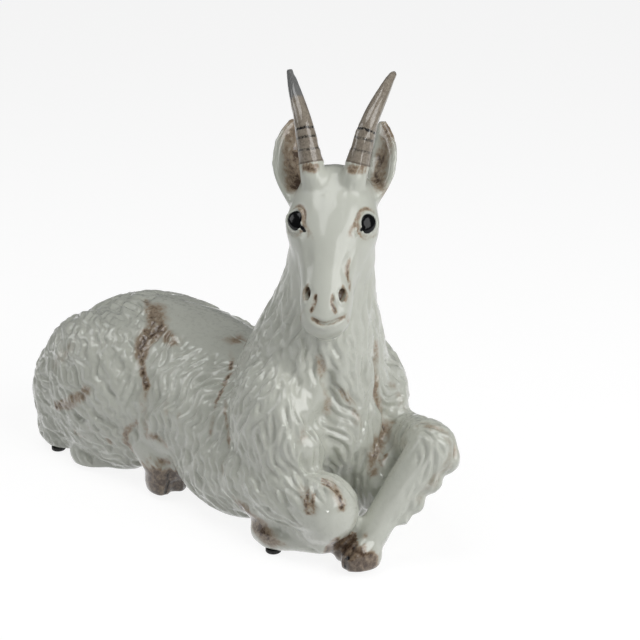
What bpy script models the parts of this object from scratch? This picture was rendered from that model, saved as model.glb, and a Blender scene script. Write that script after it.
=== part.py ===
"""Recumbent long-haired goat: a hollow slip-cast glazed ceramic figurine on stick-on bumper feet.

The goat faces +X with its right side towards -Y, and turns its head to its right. It is blocked out from
lofts and ellipsoids, fused into one skin, carved along a combed coat, and then hollowed like a slip casting.
Local tables are percentages of the named size that each one belongs to.
"""
import math

import bmesh
import bpy
import numpy as np
from mathutils import Matrix, Vector
from mathutils.bvhtree import BVHTree
from mathutils.kdtree import KDTree

# Body, metres; X = 0 lies over the elbows and Z = 0 is the table top
BODY_LENGTH = 0.352
BODY_WIDTH = 0.168
BACK_HEIGHT = 0.147
NECK_HEIGHT = 0.262
NECK_WIDTH = 0.084

# Head
HEAD_LENGTH = 0.122
HEAD_WIDTH = 0.068
HEAD_DEPTH = 0.058
HEAD_TURN = math.radians(-57)
HEAD_NOD = math.radians(56)
POLL_HEIGHT = 0.296
HORN_LENGTH = 0.090
HORN_RADIUS = 0.0094
HORN_SPACING = 0.031
EAR_LENGTH = 0.070
EAR_WIDTH = 0.030
EAR_SHIFT = 0.0025
EYE_LENGTH = 0.0150
EYE_HEIGHT = 0.0112

# Legs
FOREARM_RADIUS = 0.028
CARPUS_HEIGHT = 0.096
CANNON_RADIUS = 0.0150
HOOF_LENGTH = 0.035
HOOF_WIDTH = 0.034
HIND_TOE_OUT = math.radians(18)

# Coat
LOCK_SPACING = 0.0150
LOCK_LENGTH = 0.050
LOCK_DEPTH = 0.0032
LOCK_WAVE = 0.034
LOCK_VARIETY = 0.6
BALD_EDGE = 0.3
LOCK_SWING = math.radians(34)
FOLD_WIDTH = 0.0100

# Casting
WALL = 0.0065
VENT_DIAMETER = 0.016
SKIN_VOXEL = 0.0025
SKIN_TRIANGLES = 9800
CORE_TRIANGLES = 900

# Bumper feet
PAD_DIAMETER = 0.0127
PAD_HEIGHT = 0.0035
PAD_GAP = 0.0003
BASE_HEIGHT = PAD_HEIGHT + PAD_GAP

# Colours, linear
GLAZE_WHITE = (0.60, 0.61, 0.56, 1)
RUBBER_BLACK = (0.012, 0.012, 0.012, 1)


def glaze(name, colour, roughness):
    material = bpy.data.materials.new(name)
    material.use_nodes = True
    shader = material.node_tree.nodes["Principled BSDF"]
    shader.inputs["Base Color"].default_value = colour
    shader.inputs["Roughness"].default_value = roughness
    shader.inputs["Metallic"].default_value = 0
    material.diffuse_color = colour
    return material


def add_object(name, bm, collection):
    mesh = bpy.data.meshes.new(name)
    bm.to_mesh(mesh)
    bm.free()
    obj = bpy.data.objects.new(name, mesh)
    collection.objects.link(obj)
    return obj


def percent(rows, sizes):
    """Rows of percentages, each column times its own size in metres."""
    return np.array(rows, float) / 100 * np.array(sizes)


def smooth_rows(rows, steps):
    """Rows of numbers refined along a Catmull-Rom curve."""
    padded = np.vstack([2 * rows[0] - rows[1], rows, 2 * rows[-1] - rows[-2]])
    refined = []
    for i in range(len(rows) - 1):
        p0, p1, p2, p3 = padded[i : i + 4]
        for t in np.arange(steps) / steps:
            bend = (2 * p0 - 5 * p1 + 4 * p2 - p3) * t**2 + (3 * p1 - p0 - 3 * p2 + p3) * t**3
            refined.append((2 * p1 + (p2 - p0) * t + bend) / 2)
    refined.append(rows[-1])
    return np.array(refined)


def loft(bm, rows, up=(0, 0, 1), inset=0.0, matrix=None, around=28, steps=5, dome=4):
    """A closed form with domed ends, through stations (x, y, z, half width, height above, depth below)."""
    rows = smooth_rows(np.array(rows, float), steps)
    centres = rows[:, :3]
    radii = np.maximum(rows[:, 3:] - inset, 0.0005)
    tangents = np.gradient(centres, axis=0)
    tangents /= np.linalg.norm(tangents, axis=1)[:, None]
    side = np.cross(np.array(up, float), tangents)
    side /= np.linalg.norm(side, axis=1)[:, None]
    upward = np.cross(tangents, side)
    arc = [k / dome * math.pi / 2 * 0.98 for k in range(1, dome + 1)]
    rings = [(0, -math.sin(a), math.cos(a)) for a in reversed(arc)]
    rings += [(i, 0.0, 1.0) for i in range(len(rows))]
    rings += [(len(rows) - 1, math.sin(a), math.cos(a)) for a in arc]
    angles = np.arange(around) / around * 2 * math.pi
    loops = []
    for i, push, scale in rings:
        width, above, below = radii[i]
        centre = centres[i] + tangents[i] * push * min(width, (above + below) / 2)
        height = np.where(np.sin(angles) > 0, above, below)
        points = centre + np.outer(np.cos(angles) * width * scale, side[i])
        points = points + np.outer(np.sin(angles) * height * scale, upward[i])
        loops.append([bm.verts.new(matrix @ Vector(p) if matrix else p) for p in points])
    for one, two in zip(loops, loops[1:]):
        for j in range(around):
            k = (j + 1) % around
            bm.faces.new((one[j], one[k], two[k], two[j]))
    bm.faces.new(list(reversed(loops[0])))
    bm.faces.new(loops[-1])


def ball(bm, centre, radii, turn=(0, 0, 0), inset=0.0, matrix=None):
    """An ellipsoid with these half axes, turned by these angles in degrees about X, Y and Z."""
    place = Matrix.Translation(Vector(centre))
    for angle, axis in zip(reversed(turn), "ZYX"):
        place = place @ Matrix.Rotation(math.radians(angle), 4, axis)
    place = place @ Matrix.Diagonal((*[r - inset for r in radii], 1))
    bmesh.ops.create_uvsphere(bm, u_segments=28, v_segments=16, radius=1, matrix=(matrix or Matrix()) @ place)


def head_frame():
    """Frame of the head at the poll: +X runs down the face, +Z out of it, +Y to the goat's left."""
    poll = Vector((0.0743 * BODY_LENGTH, -0.102 * BODY_WIDTH, POLL_HEIGHT))
    turn = Matrix.Rotation(HEAD_TURN, 4, "Z")
    nod = Matrix.Rotation(HEAD_NOD, 4, "Y")
    return Matrix.Translation(poll) @ turn @ nod


def torso(bm, inset=0.0):
    rows = [
        (-74.4, -1, 35, 31, 33, 35),
        (-67.0, 0, 42, 44, 48, 42),
        (-56.8, 1, 48, 50, 52, 48),
        (-42.6, 2, 49, 49, 48, 49),
        (-27.0, 2, 49, 48, 40, 49),
        (-14.2, 1, 49.5, 46, 37, 49),
        (-2.8, -1, 56, 44, 40, 49),
        (4.0, -5, 63, 35, 39, 45),
        (6.8, -6, 65, 25, 34, 35),
    ]
    length, width, height = BODY_LENGTH, BODY_WIDTH, BACK_HEIGHT
    loft(bm, percent(rows, (length, width, height, width, height, height)), inset=inset)
    masses = [
        ((-58.5, -27, 47), (22.9, 26, 49), (0, 4, -4)),
        ((-58.0, 26, 43), (21.6, 25, 46), (0, 4, 4)),
        ((-71.8, -26, 37), (12.1, 22, 38), (0, 0, 0)),
        ((-74.8, -27, 15), (8.6, 17, 18), (0, 0, 0)),
        ((-61.0, -31, 9), (8, 16.5, 16), (0, 0, 0)),
        ((-71.6, 24, 26), (10.8, 20, 27), (0, 0, 0)),
        ((-14.8, -28, 31), (18.8, 23, 30), (0, 0, -3)),
        ((-19.9, 28, 29), (19.9, 20, 29), (0, 0, 0)),
        ((0.6, -33, 65), (13.6, 20, 39), (0, -20, -14)),
        ((8.5, 21, 70), (9.7, 15.5, 33), (0, -10, -20)),
        ((5.7, 3, 32), (11.9, 29, 33), (0, 0, 0)),
        ((14.8, 14, 39), (7.4, 12, 25), (0, -20, -20)),
        ((18.0, -3, 36), (6.8, 13, 21), (0, 0, 0)),
    ]
    for centre, radii, turn in masses:
        sizes = (length, width, height)
        ball(bm, percent(centre, sizes), percent(radii, sizes), turn, inset)


def tail(bm):
    """A short tail, lying down the middle of the rump."""
    rows = [
        (-77.0, 6, 66, 7, 7, 7),
        (-80.8, 6, 57, 8, 8, 8),
        (-83.6, 6, 44, 8, 8, 8),
        (-84.4, 5, 31, 5, 6, 6),
    ]
    sizes = (BODY_LENGTH, BODY_WIDTH, BACK_HEIGHT, BODY_WIDTH, BACK_HEIGHT, BACK_HEIGHT)
    loft(bm, percent(rows, sizes), up=(-1, 0, 0.4))


def neck(bm, inset=0.0):
    rows = [
        (-1.1, -1, 46, 79, 76, 79),
        (1.1, -2, 60, 64, 67, 69),
        (3.4, -4, 73, 50, 55, 55),
        (5.1, -6, 82, 43, 48, 43),
        (5.7, -6, 92, 38, 43, 33),
        (5.1, -5, 100, 31, 36, 26),
    ]
    across = NECK_WIDTH
    sizes = (BODY_LENGTH, BODY_WIDTH, NECK_HEIGHT, across, across, across)
    loft(bm, percent(rows, sizes), up=(-0.6, 0.75, 0), inset=inset)


def skull(bm, inset=0.0):
    rows = [
        (1.6, 0, -48, 43, 31, 43),
        (14.8, 0, -48, 50.5, 43, 48),
        (29.5, 0, -47, 52.5, 46, 53),
        (44.3, 0, -43, 42.5, 45, 55),
        (60.7, 0, -38, 32, 38, 47),
        (75.4, 0, -33, 30, 33, 38),
        (86.0, 0, -31, 29, 28, 31),
    ]
    length, width, depth = HEAD_LENGTH, HEAD_WIDTH, HEAD_DEPTH
    matrix = head_frame()
    loft(bm, percent(rows, (length, width, depth, width, depth, depth)), inset=inset, matrix=matrix)
    sizes = (length, width, depth)
    ball(bm, percent((12, 0, -66), sizes), percent((23, 37, 40), sizes), (0, 0, 0), inset, matrix)
    for side in (1, -1):
        jaw = percent((41, side * 28, -73), sizes)
        ball(bm, jaw, percent((23, 21, 40), sizes), (0, 25, 0), inset, matrix)


def face(bm):
    """Eye sockets, chin and lips, which are solid."""
    sizes = (HEAD_LENGTH, HEAD_WIDTH, HEAD_DEPTH)
    matrix = head_frame()
    for side in (1, -1):
        ball(bm, percent((25, side * 39, -37), sizes), percent((11, 15, 20), sizes), matrix=matrix)
        ball(bm, percent((83, side * 14, -25), sizes), percent((9, 14, 19), sizes), matrix=matrix)
    ball(bm, percent((90, 0, -58), sizes), percent((9, 20, 15), sizes), matrix=matrix)


def horn_rows(side):
    """Stations of a horn in the head's frame, root first."""
    rows = [
        (2, -14, 110, 0),
        (-10, -11, 100, 3),
        (-42, -1, 80, 12),
        (-75, -6, 58, 25),
        (-98, -16, 36, 34),
    ]
    stations = []
    for along, out, thick, spread in rows:
        x = along / 100 * HORN_LENGTH - 0.03 * HEAD_LENGTH
        y = side * (HORN_SPACING / 2 + spread / 100 * HORN_LENGTH * 0.84)
        radius = thick / 100 * HORN_RADIUS
        stations.append((x, y, out / 100 * HORN_LENGTH, radius, radius, radius))
    return stations


def horns_and_ears(bm):
    matrix = head_frame()
    for side in (1, -1):
        loft(bm, horn_rows(side), matrix=matrix, around=18)
        rows = [
            (20, 0, 0, 22, 15, 15),
            (3, 6, -4, 38, 15, 15),
            (-24, 13, -5, 57, 14, 14),
            (-56, 14, -5, 51, 12, 12),
            (-84, 10, -5, 20, 10, 10),
        ]
        length, width = EAR_LENGTH, EAR_WIDTH
        ear = percent(rows, (length, length, length, width, width, width))
        ear[:, 1] = side * (ear[:, 1] + 0.40 * HEAD_WIDTH) - EAR_SHIFT
        ear[:, 2] -= 0.60 * HEAD_DEPTH
        loft(bm, ear, up=(0.1, -side * 0.7, 0.7), matrix=matrix, around=18)


def right_foreleg(bm, inset=0.0):
    """The folded foreleg: forearm along the floor, knee in front, cannon tucked under."""
    thick = FOREARM_RADIUS
    x, y, z = BODY_LENGTH, BODY_WIDTH, BACK_HEIGHT
    rows = [
        (-5.7, -37, 35.4, 100, 114, 121),
        (2.8, -40.5, 34, 93, 107, 107),
        (11.4, -41.7, 34, 89, 100, 100),
        (18.2, -41, 34, 93, 103, 103),
    ]
    loft(bm, percent(rows, (x, y, z, thick, thick, thick)), inset=inset)


def folded_cannon(bm):
    x, y, thick = BODY_LENGTH, BODY_WIDTH, CANNON_RADIUS
    low = BASE_HEIGHT + 0.70 * thick
    rows = [
        (0.170 * x, -0.405 * y, low + 0.8 * thick, 1.07 * thick, 1.07 * thick, 1.07 * thick),
        (0.102 * x, -0.430 * y, low + 0.4 * thick, 0.95 * thick, 0.95 * thick, 0.95 * thick),
        (0.045 * x, -0.445 * y, low, 0.90 * thick, 0.90 * thick, 0.90 * thick),
        (0.012 * x, -0.435 * y, low, 0.85 * thick, 0.85 * thick, 0.85 * thick),
    ]
    loft(bm, rows)


def carpus():
    """The raised left knee."""
    return Vector((0.332 * BODY_LENGTH, -0.012 * BODY_WIDTH, CARPUS_HEIGHT))


def left_hoof_point():
    """Where the planted left hoof meets the table."""
    return Vector((0.231 * BODY_LENGTH, -0.350 * BODY_WIDTH, 0))


def hind_hoof_point(side):
    """Where a hind hoof meets the table."""
    return Vector((-0.337 * BODY_LENGTH, side * 0.356 * BODY_WIDTH, 0))


def left_foreleg(bm):
    knee, toe, thick = carpus(), left_hoof_point(), CANNON_RADIUS
    elbow = Vector((0.114 * BODY_LENGTH, 0.262 * BODY_WIDTH, 0.44 * BACK_HEIGHT))
    middle = elbow.lerp(knee, 0.48)
    rows = [
        (*elbow, 1.7 * thick, 1.7 * thick, 1.85 * thick),
        (*middle, 1.47 * thick, 1.47 * thick, 1.47 * thick),
        (*elbow.lerp(knee, 0.88), 1.27 * thick, 1.33 * thick, 1.27 * thick),
    ]
    loft(bm, rows)
    shin = toe - knee
    rows = []
    for share, sag, size in ((0, 0, 118), (20, 14, 108), (42, 20, 96), (60, 20, 86), (72, 8, 84)):
        centre = knee + shin * share / 100 - Vector((sag / 100 * thick, 0, 0))
        rows.append((*centre, *[size / 100 * thick] * 3))
    loft(bm, rows, up=(1, 0, 0.3))
    behind = Vector((0.62, 0.52, -0.1)) * thick
    for share, size in ((8, 98), (26, 86), (44, 70), (57, 50)):
        centre = knee + shin * share / 100 + behind
        ball(bm, centre, percent((size, size * 0.8, size), (thick, thick, thick)), (0, 30, 0))
    hoof(bm, toe, shin)


def hoof(bm, toe, heading):
    """A cloven hoof: two claws side by side on the table, pointing along the heading."""
    forward = Vector((heading.x, heading.y, 0)).normalized()
    turn = math.degrees(math.atan2(forward.y, forward.x))
    aside = Vector((-forward.y, forward.x, 0))
    for side in (1, -1):
        centre = toe + aside * side * HOOF_WIDTH * 0.235 - forward * 0.15 * HOOF_LENGTH
        radii = (HOOF_LENGTH * 0.5, HOOF_WIDTH * 0.29, HOOF_LENGTH * 0.46)
        ball(bm, centre + Vector((0, 0, 0.34 * HOOF_LENGTH)), radii, (0, 16, turn))


def hind_foot(bm, side):
    """A hind foot that shows in front of the haunch, below the belly."""
    x, y = BODY_LENGTH, side * BODY_WIDTH
    thick = CANNON_RADIUS
    rows = [
        (-0.409 * x, 0.335 * y, 0.046, 1.33 * thick, 1.2 * thick, 1.2 * thick),
        (-0.372 * x, 0.347 * y, 0.034, 1.2 * thick, 1.2 * thick, 1.2 * thick),
        (-0.345 * x, 0.352 * y, 0.024, 1.13 * thick, 1.13 * thick, 1.13 * thick),
    ]
    loft(bm, rows)
    hoof(bm, hind_hoof_point(side), Vector((math.cos(HIND_TOE_OUT), side * math.sin(HIND_TOE_OUT), 0)))


def fused(name, bm, collection, voxel, smoothing):
    """The blocked-out forms, fused into one skin of even quads and eased where they meet."""
    bmesh.ops.recalc_face_normals(bm, faces=bm.faces)
    obj = add_object(name, bm, collection)
    remesh = obj.modifiers.new("fuse", "REMESH")
    remesh.mode = "VOXEL"
    remesh.voxel_size = voxel
    smooth = obj.modifiers.new("ease", "SMOOTH")
    smooth.factor = 0.5
    smooth.iterations = smoothing
    apply_modifiers(obj)
    return obj


def apply_modifiers(obj):
    """The object's mesh as its modifiers leave it, in place of the old one."""
    depsgraph = bpy.context.evaluated_depsgraph_get()
    depsgraph.update()
    mesh = bpy.data.meshes.new_from_object(obj.evaluated_get(depsgraph))
    obj.modifiers.clear()
    obj.data = mesh


def decimate(obj, triangles):
    obj.data.calc_loop_triangles()
    modifier = obj.modifiers.new("thin", "DECIMATE")
    modifier.ratio = min(1.0, triangles / len(obj.data.loop_triangles))
    modifier.use_collapse_triangulate = True
    apply_modifiers(obj)


def skin_arrays(obj):
    """Vertex places and normals of an object's mesh, as arrays."""
    mesh = obj.data
    places = np.empty(len(mesh.vertices) * 3)
    normals = np.empty(len(mesh.vertices) * 3)
    mesh.vertices.foreach_get("co", places)
    mesh.vertices.foreach_get("normal", normals)
    return places.reshape(-1, 3), normals.reshape(-1, 3)


def move_skin(obj, places):
    obj.data.vertices.foreach_set("co", places.ravel())
    obj.data.update()


def dent(places, normals, centre, radii, depth, axes, facing=0.15):
    """Push the skin inwards, or out for a negative depth, in a soft ellipse round a centre.

    axes holds the ellipse's own axes as rows; the last one points out of the skin.
    """
    local = (places - np.array(centre)) @ axes.T / np.array(radii)
    reach = np.clip(1 - np.sum(local**2, axis=1), 0, 1)
    side = np.clip((normals @ axes[2] - facing) / 0.5, 0, 1)
    places -= np.outer(depth * reach**0.8 * side, axes[2])


def groove(places, normals, path, half_width, depth, steps=8):
    """Cut a soft furrow along a path of points, fading out at both ends."""
    points = smooth_rows(np.array(path, float), steps)
    tree = KDTree(len(points))
    for i, point in enumerate(points):
        tree.insert(point, i)
    tree.balance()
    low, high = points.min(axis=0) - half_width * 2, points.max(axis=0) + half_width * 2
    near = np.where(np.all((places > low) & (places < high), axis=1))[0]
    for v in near:
        _, i, distance = tree.find(places[v])
        if distance < half_width:
            fade = math.sin(math.pi * (0.08 + 0.84 * i / (len(points) - 1))) ** 0.5
            places[v] -= normals[v] * depth * fade * (1 - distance / half_width) ** 1.3


def coat_guides():
    """Where the coat lies which way: rows of a place and the flow of the hair there."""
    rows = [
        (-78, -38, 50, 0.3, 0.0, -1.0),
        (-66, -44, 75, 0.5, -0.3, -1.0),
        (-58, -48, 50, 1.0, -0.2, -0.8),
        (-48, -42, 72, 0.8, -0.4, -1.0),
        (-44, -46, 30, 0.9, 0.0, -0.8),
        (-36, -46, 60, 0.1, -0.3, -1.0),
        (-22, -46, 70, -0.3, -0.3, -1.0),
        (-20, -46, 35, 0.1, 0.0, -1.0),
        (-8, -46, 50, 0.2, 0.0, -1.0),
        (-6, -38, 85, -0.5, -0.5, -1.0),
        (2, -48, 70, 0.0, -0.2, -1.0),
        (-5, -52, 25, 0.8, 0.0, -0.7),
        (10, -52, 34, 1.0, 0.0, -0.6),
        (10, -26, 88, 0.1, 0.0, -1.0),
        (16, -18, 70, 0.2, 0.5, -1.0),
        (17, -2, 60, 0.2, -0.1, -1.0),
        (16, 8, 70, 0.1, -0.5, -1.0),
        (-2, -10, 125, -0.4, -0.2, -1.0),
        (3, -30, 130, -0.2, -0.2, -1.0),
        (15, -6, 130, 0.2, 0.0, -1.0),
        (12, 12, 130, 0.0, 0.3, -1.0),
        (13, 24, 90, 0.0, 0.1, -1.0),
        (20, 10, 46, 1.0, -0.3, -0.2),
        (-90, 0, 45, 0.0, 0.0, -1.0),
        (-80, 0, 80, -0.8, 0.0, -0.8),
    ]
    mirrored = [(x, -y, z, dx, -dy, dz) for x, y, z, dx, dy, dz in rows if x < 0 and y < -20]
    guides = np.array(rows + mirrored, float)
    places = guides[:, :3] / 100 * (BODY_LENGTH, BODY_WIDTH, BACK_HEIGHT)
    return places, guides[:, 3:]


def bald_places():
    """Spheres of the skin that carry no locks: face, ears, hooves, shins, knee and saddle."""
    face = head_frame() @ Vector((0.45 * HEAD_LENGTH, 0, 0))
    crown = head_frame() @ Vector((-0.30 * HEAD_LENGTH, 0, -0.2 * HEAD_DEPTH))
    shin = (carpus() + left_hoof_point()) / 2
    x, y, z = BODY_LENGTH, BODY_WIDTH, BACK_HEIGHT
    return [
        (face, 0.60 * HEAD_LENGTH),
        (crown, 0.62 * HEAD_LENGTH),
        (shin, 0.060),
        (carpus(), 0.026),
        (Vector((0.205 * x, -0.43 * y, 0.30 * z)), 0.030),
        (Vector((0.02 * x, -0.50 * y, 0.10 * z)), 0.022),
        (Vector((-0.350 * x, 0.40 * y, 0.20 * z)), 0.030),
        (Vector((-0.350 * x, -0.40 * y, 0.20 * z)), 0.030),
        (Vector((-0.30 * x, 0.02 * y, 1.10 * z)), 0.048),
        (Vector((-0.46 * x, 0.06 * y, 1.14 * z)), 0.040),
        (Vector((-0.16 * x, 0.02 * y, 1.06 * z)), 0.040),
    ]


def coat_strength(point, normal, bald):
    """How deep the locks are cut here, from 0 to 1."""
    strength = min(1.0, max(0.0, (point[2] - BASE_HEIGHT) / 0.006))
    if normal[2] < -0.75:
        return 0.0
    for centre, radius in bald:
        gap = (Vector(point) - centre).length / radius
        strength *= min(1.0, max(0.0, (gap - 1) / BALD_EDGE + 0.5))
    return strength


def hair_flow(point, normal, guides):
    """Lie of the hair at a point of the skin: nearby guides blended, swung to and fro down the lock."""
    places, flows = guides
    offset = places - point
    weight = 1 / (np.sum(offset**2, axis=1) + 0.012**2) ** 2
    flow = weight @ flows
    flow = flow - normal * flow.dot(normal)
    flow /= np.linalg.norm(flow) + 1e-9
    phase = point[2] / LOCK_WAVE + 1.3 * math.sin(point[0] * 37) + 0.9 * math.sin(point[1] * 53 + 1)
    swing = LOCK_SWING * math.sin(2 * math.pi * phase)
    return flow * math.cos(swing) + np.cross(normal, flow) * math.sin(swing)


def comb_locks(obj, places, normals):
    """Evenly spaced wavy locks, traced over the skin along the lie of the hair."""
    bvh = BVHTree.FromPolygons(places, [tuple(p.vertices) for p in obj.data.polygons])
    guides, bald = coat_guides(), bald_places()
    step = LOCK_SPACING / 5
    cells = {}

    def crowded(point, limit, own):
        key = np.floor(point / LOCK_SPACING).astype(int)
        for dx in (-1, 0, 1):
            for dy in (-1, 0, 1):
                for dz in (-1, 0, 1):
                    for other, lock in cells.get((key[0] + dx, key[1] + dy, key[2] + dz), ()):
                        if lock != own and np.dot(other - point, other - point) < limit**2:
                            return True
        return False

    def trace(start, normal, sense, own, length):
        points = []
        point = start
        for _ in range(int(length / step)):
            point = point + hair_flow(point, normal, guides) * step * sense
            found, facing, _, _ = bvh.find_nearest(point)
            if found is None:
                break
            point, normal = np.array(found), np.array(facing)
            if coat_strength(point, normal, bald) < 0.25 or crowded(point, 0.55 * LOCK_SPACING, own):
                break
            points.append(point)
        return points

    order = np.random.default_rng(5).permutation(len(places))
    locks = []
    for v in order[: len(order) // 3]:
        start, normal = places[v], normals[v]
        if coat_strength(start, normal, bald) < 0.5 or crowded(start, LOCK_SPACING, -1):
            continue
        own = len(locks)
        length = LOCK_LENGTH * (1 + LOCK_VARIETY * (((v * 7919) % 100) / 100 - 0.5)) / 2
        before = trace(start, normal, -1, own, length)
        after = trace(start, normal, 1, own, length)
        points = before[::-1] + [start] + after
        if len(points) < 5:
            continue
        for point in points:
            cells.setdefault(tuple(np.floor(point / LOCK_SPACING).astype(int)), []).append((point, own))
        locks.append(points)
    return locks


def carve_coat(obj, places, normals):
    """Furrows between the locks, deepest in the middle of each one."""
    tree = KDTree(len(places))
    for i, place in enumerate(places):
        tree.insert(place, i)
    tree.balance()
    bald = bald_places()
    cut = np.zeros(len(places))
    reach = LOCK_SPACING * 0.42
    for points in comb_locks(obj, places, normals):
        for i, point in enumerate(points):
            fade = math.sin(math.pi * (i + 1) / (len(points) + 1)) ** 0.6
            for _, v, distance in tree.find_range(point, reach):
                share = fade * (1 - distance / reach) ** 1.2
                cut[v] = max(cut[v], share)
    strength = np.array([coat_strength(p, n, bald) if c > 0 else 0 for p, n, c in zip(places, normals, cut)])
    places -= normals * (LOCK_DEPTH * cut * strength)[:, None]


def carve_face(places, normals):
    """Eyeballs in their sockets, tear ducts, nostrils and the mouth."""
    frame = head_frame()
    turn = np.array(frame.to_3x3())
    length, width, depth = HEAD_LENGTH, HEAD_WIDTH, HEAD_DEPTH

    def spot(x, y, z):
        return np.array(frame @ Vector((x / 100 * length, y / 100 * width, z / 100 * depth)))

    for side in (1, -1):
        out = turn @ np.array((0.05, side * 0.75, 0.66))
        along = turn @ np.array((0.90, -side * 0.36, 0.22))
        along -= out * along.dot(out)
        along /= np.linalg.norm(along)
        axes = np.array([along, np.cross(out, along), out])
        centre = spot(26, side * 46, -20)
        socket = (EYE_LENGTH * 0.95, EYE_HEIGHT * 1.05, 0.02)
        dent(places, normals, centre, socket, 0.0022, axes)
        eyeball = (EYE_LENGTH * 0.55, EYE_HEIGHT * 0.56, 0.02)
        dent(places, normals, centre, eyeball, -0.0042, axes)
        groove(places, normals, [spot(31, side * 36, -14), spot(37, side * 28, -8)], 0.003, 0.0015)
        out = turn @ np.array((0.25, side * 0.55, 0.80))
        along = turn @ np.array((0.93, side * 0.25, -0.2))
        along -= out * along.dot(out)
        along /= np.linalg.norm(along)
        axes = np.array([along, np.cross(out, along), out])
        dent(places, normals, spot(75, side * 19, -9), (0.0065, 0.0038, 0.02), 0.0040, axes)
        groove(places, normals, [spot(81, side * 13, -4), spot(88, side * 8, -6)], 0.0035, 0.0014)
    lips = [(82, -25, -26), (87, -16, -11), (91, -8, -8), (92.5, 2, -8), (90, 12, -9), (87, 20, -15)]
    lips = [spot(*point) for point in [*lips, (82, 25, -27)]]
    groove(places, normals, lips, 0.0035, 0.0030)


def carve_ears(places, normals):
    """The cup of each ear, open to the front."""
    frame = head_frame()
    turn = np.array(frame.to_3x3())
    for side in (1, -1):
        out = turn @ np.array((0.0, -side * 0.70, 0.71))
        along = turn @ np.array((1.0, 0.0, 0.0))
        axes = np.array([along, np.cross(out, along), out])
        x, y = -0.16 * EAR_LENGTH, side * (0.12 * EAR_LENGTH + 0.40 * HEAD_WIDTH) - EAR_SHIFT
        centre = np.array(frame @ Vector((x, y, -0.65 * HEAD_DEPTH)))
        cup = (EAR_LENGTH * 0.52, EAR_WIDTH * 0.40, 0.012)
        dent(places, normals, centre, cup, 0.0032, axes, facing=0.4)


def carve_hooves(places, normals):
    """The cleft between the claws of each hoof, and the ring above them."""
    knee, toe = carpus(), left_hoof_point()
    ahead = Vector((toe.x - knee.x, toe.y - knee.y, 0)).normalized() * HOOF_LENGTH
    rise = Vector((0, 0, HOOF_LENGTH))
    front = toe + ahead * 0.32
    cleft = [front + rise * 0.10, front + rise * 0.42, toe + rise * 0.80]
    groove(places, normals, cleft, 0.0040, 0.0050)
    for side in (1, -1):
        toe = hind_hoof_point(side)
        front = toe + Vector((0.30, side * 0.10, 0)) * HOOF_LENGTH
        cleft = [front + rise * 0.10, front + rise * 0.42, toe + rise * 0.80]
        groove(places, normals, cleft, 0.0040, 0.0050)


def carve_creases(places, normals, inset=0.0):
    """The folds where haunches, shoulders and brisket meet the trunk, in the skin or one wall inside it."""
    sizes = (BODY_LENGTH, BODY_WIDTH, BACK_HEIGHT)
    for side in (1, -1):
        haunch = [
            (-49, side * -13, 98),
            (-46, side * -20, 96),
            (-42.5, side * -32, 86),
            (-40, side * -39, 76),
            (-36.5, side * -42, 69),
            (-38, side * -46, 50),
        ]
        groove(places, normals, percent(haunch, sizes), FOLD_WIDTH + 2 * inset, 0.4 * (FOLD_WIDTH + inset))
    shoulder = [(10.6, -27, 109), (11.9, -25, 97), (12.6, -24, 87), (12.3, -26, 79), (12.8, -35, 76)]
    skirt = [(-4, -54, 36), (1.2, -54, 25), (4.3, -53, 20), (9.5, -52, 19), (15, -54, 22), (20, -54, 27)]
    folds = [
        ([*shoulder, (12.6, -44, 70)], 115, 70),
        ([(15.3, 5, 109), (15.7, 2, 94), (16.1, 1, 82), (16.8, 5, 69), (17.6, 2, 60)], 90, 50),
        ([(-23.7, -7, 92), (-16.2, -29, 83), (-15.2, -38, 73), (-9.2, -45, 56)], 80, 30),
        (skirt, 80, 40),
    ]
    for fold, across, deep in folds:
        half_width = across / 100 * FOLD_WIDTH + 2 * inset
        groove(places, normals, percent(fold, sizes), half_width, deep / 100 * FOLD_WIDTH + 0.4 * inset)


def hollow_core(cutters):
    """The space that the drained slip leaves inside: the trunk, neck and skull, one wall in from the skin."""
    bm = bmesh.new()
    torso(bm, WALL)
    neck(bm, WALL)
    skull(bm, WALL)
    right_foreleg(bm, WALL)
    core = fused("core", bm, cutters, SKIN_VOXEL * 1.6, 4)
    places, normals = skin_arrays(core)
    carve_creases(places, normals, WALL)
    move_skin(core, places)
    decimate(core, CORE_TRIANGLES)
    cut(core, slab("core_floor", cutters, BASE_HEIGHT + WALL))
    return core


def slab(name, cutters, top):
    """A block under the whole figure with its upper face at this height."""
    bm = bmesh.new()
    size = Vector((BODY_LENGTH * 1.6, BODY_WIDTH * 1.8, BODY_WIDTH))
    centre = Vector((-0.35 * BODY_LENGTH, 0, top - size.z / 2))
    bmesh.ops.create_cube(bm, size=1, matrix=Matrix.Translation(centre) @ Matrix.Diagonal((*size, 1)))
    return add_object(name, bm, cutters)


def vent(cutters):
    """The drain hole through the underside of the belly."""
    bm = bmesh.new()
    radius = VENT_DIAMETER / 2
    place = Matrix.Translation((-0.31 * BODY_LENGTH, 0, BASE_HEIGHT))
    depth = 4 * WALL
    bmesh.ops.create_cone(
        bm, cap_ends=True, segments=32, radius1=radius, radius2=radius, depth=depth, matrix=place
    )
    return add_object("vent", bm, cutters)


def cut(obj, cutter):
    modifier = obj.modifiers.new(cutter.name, "BOOLEAN")
    modifier.operation = "DIFFERENCE"
    modifier.solver = "EXACT"
    modifier.object = cutter
    cutter.hide_render = True
    cutter.display_type = "WIRE"


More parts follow.
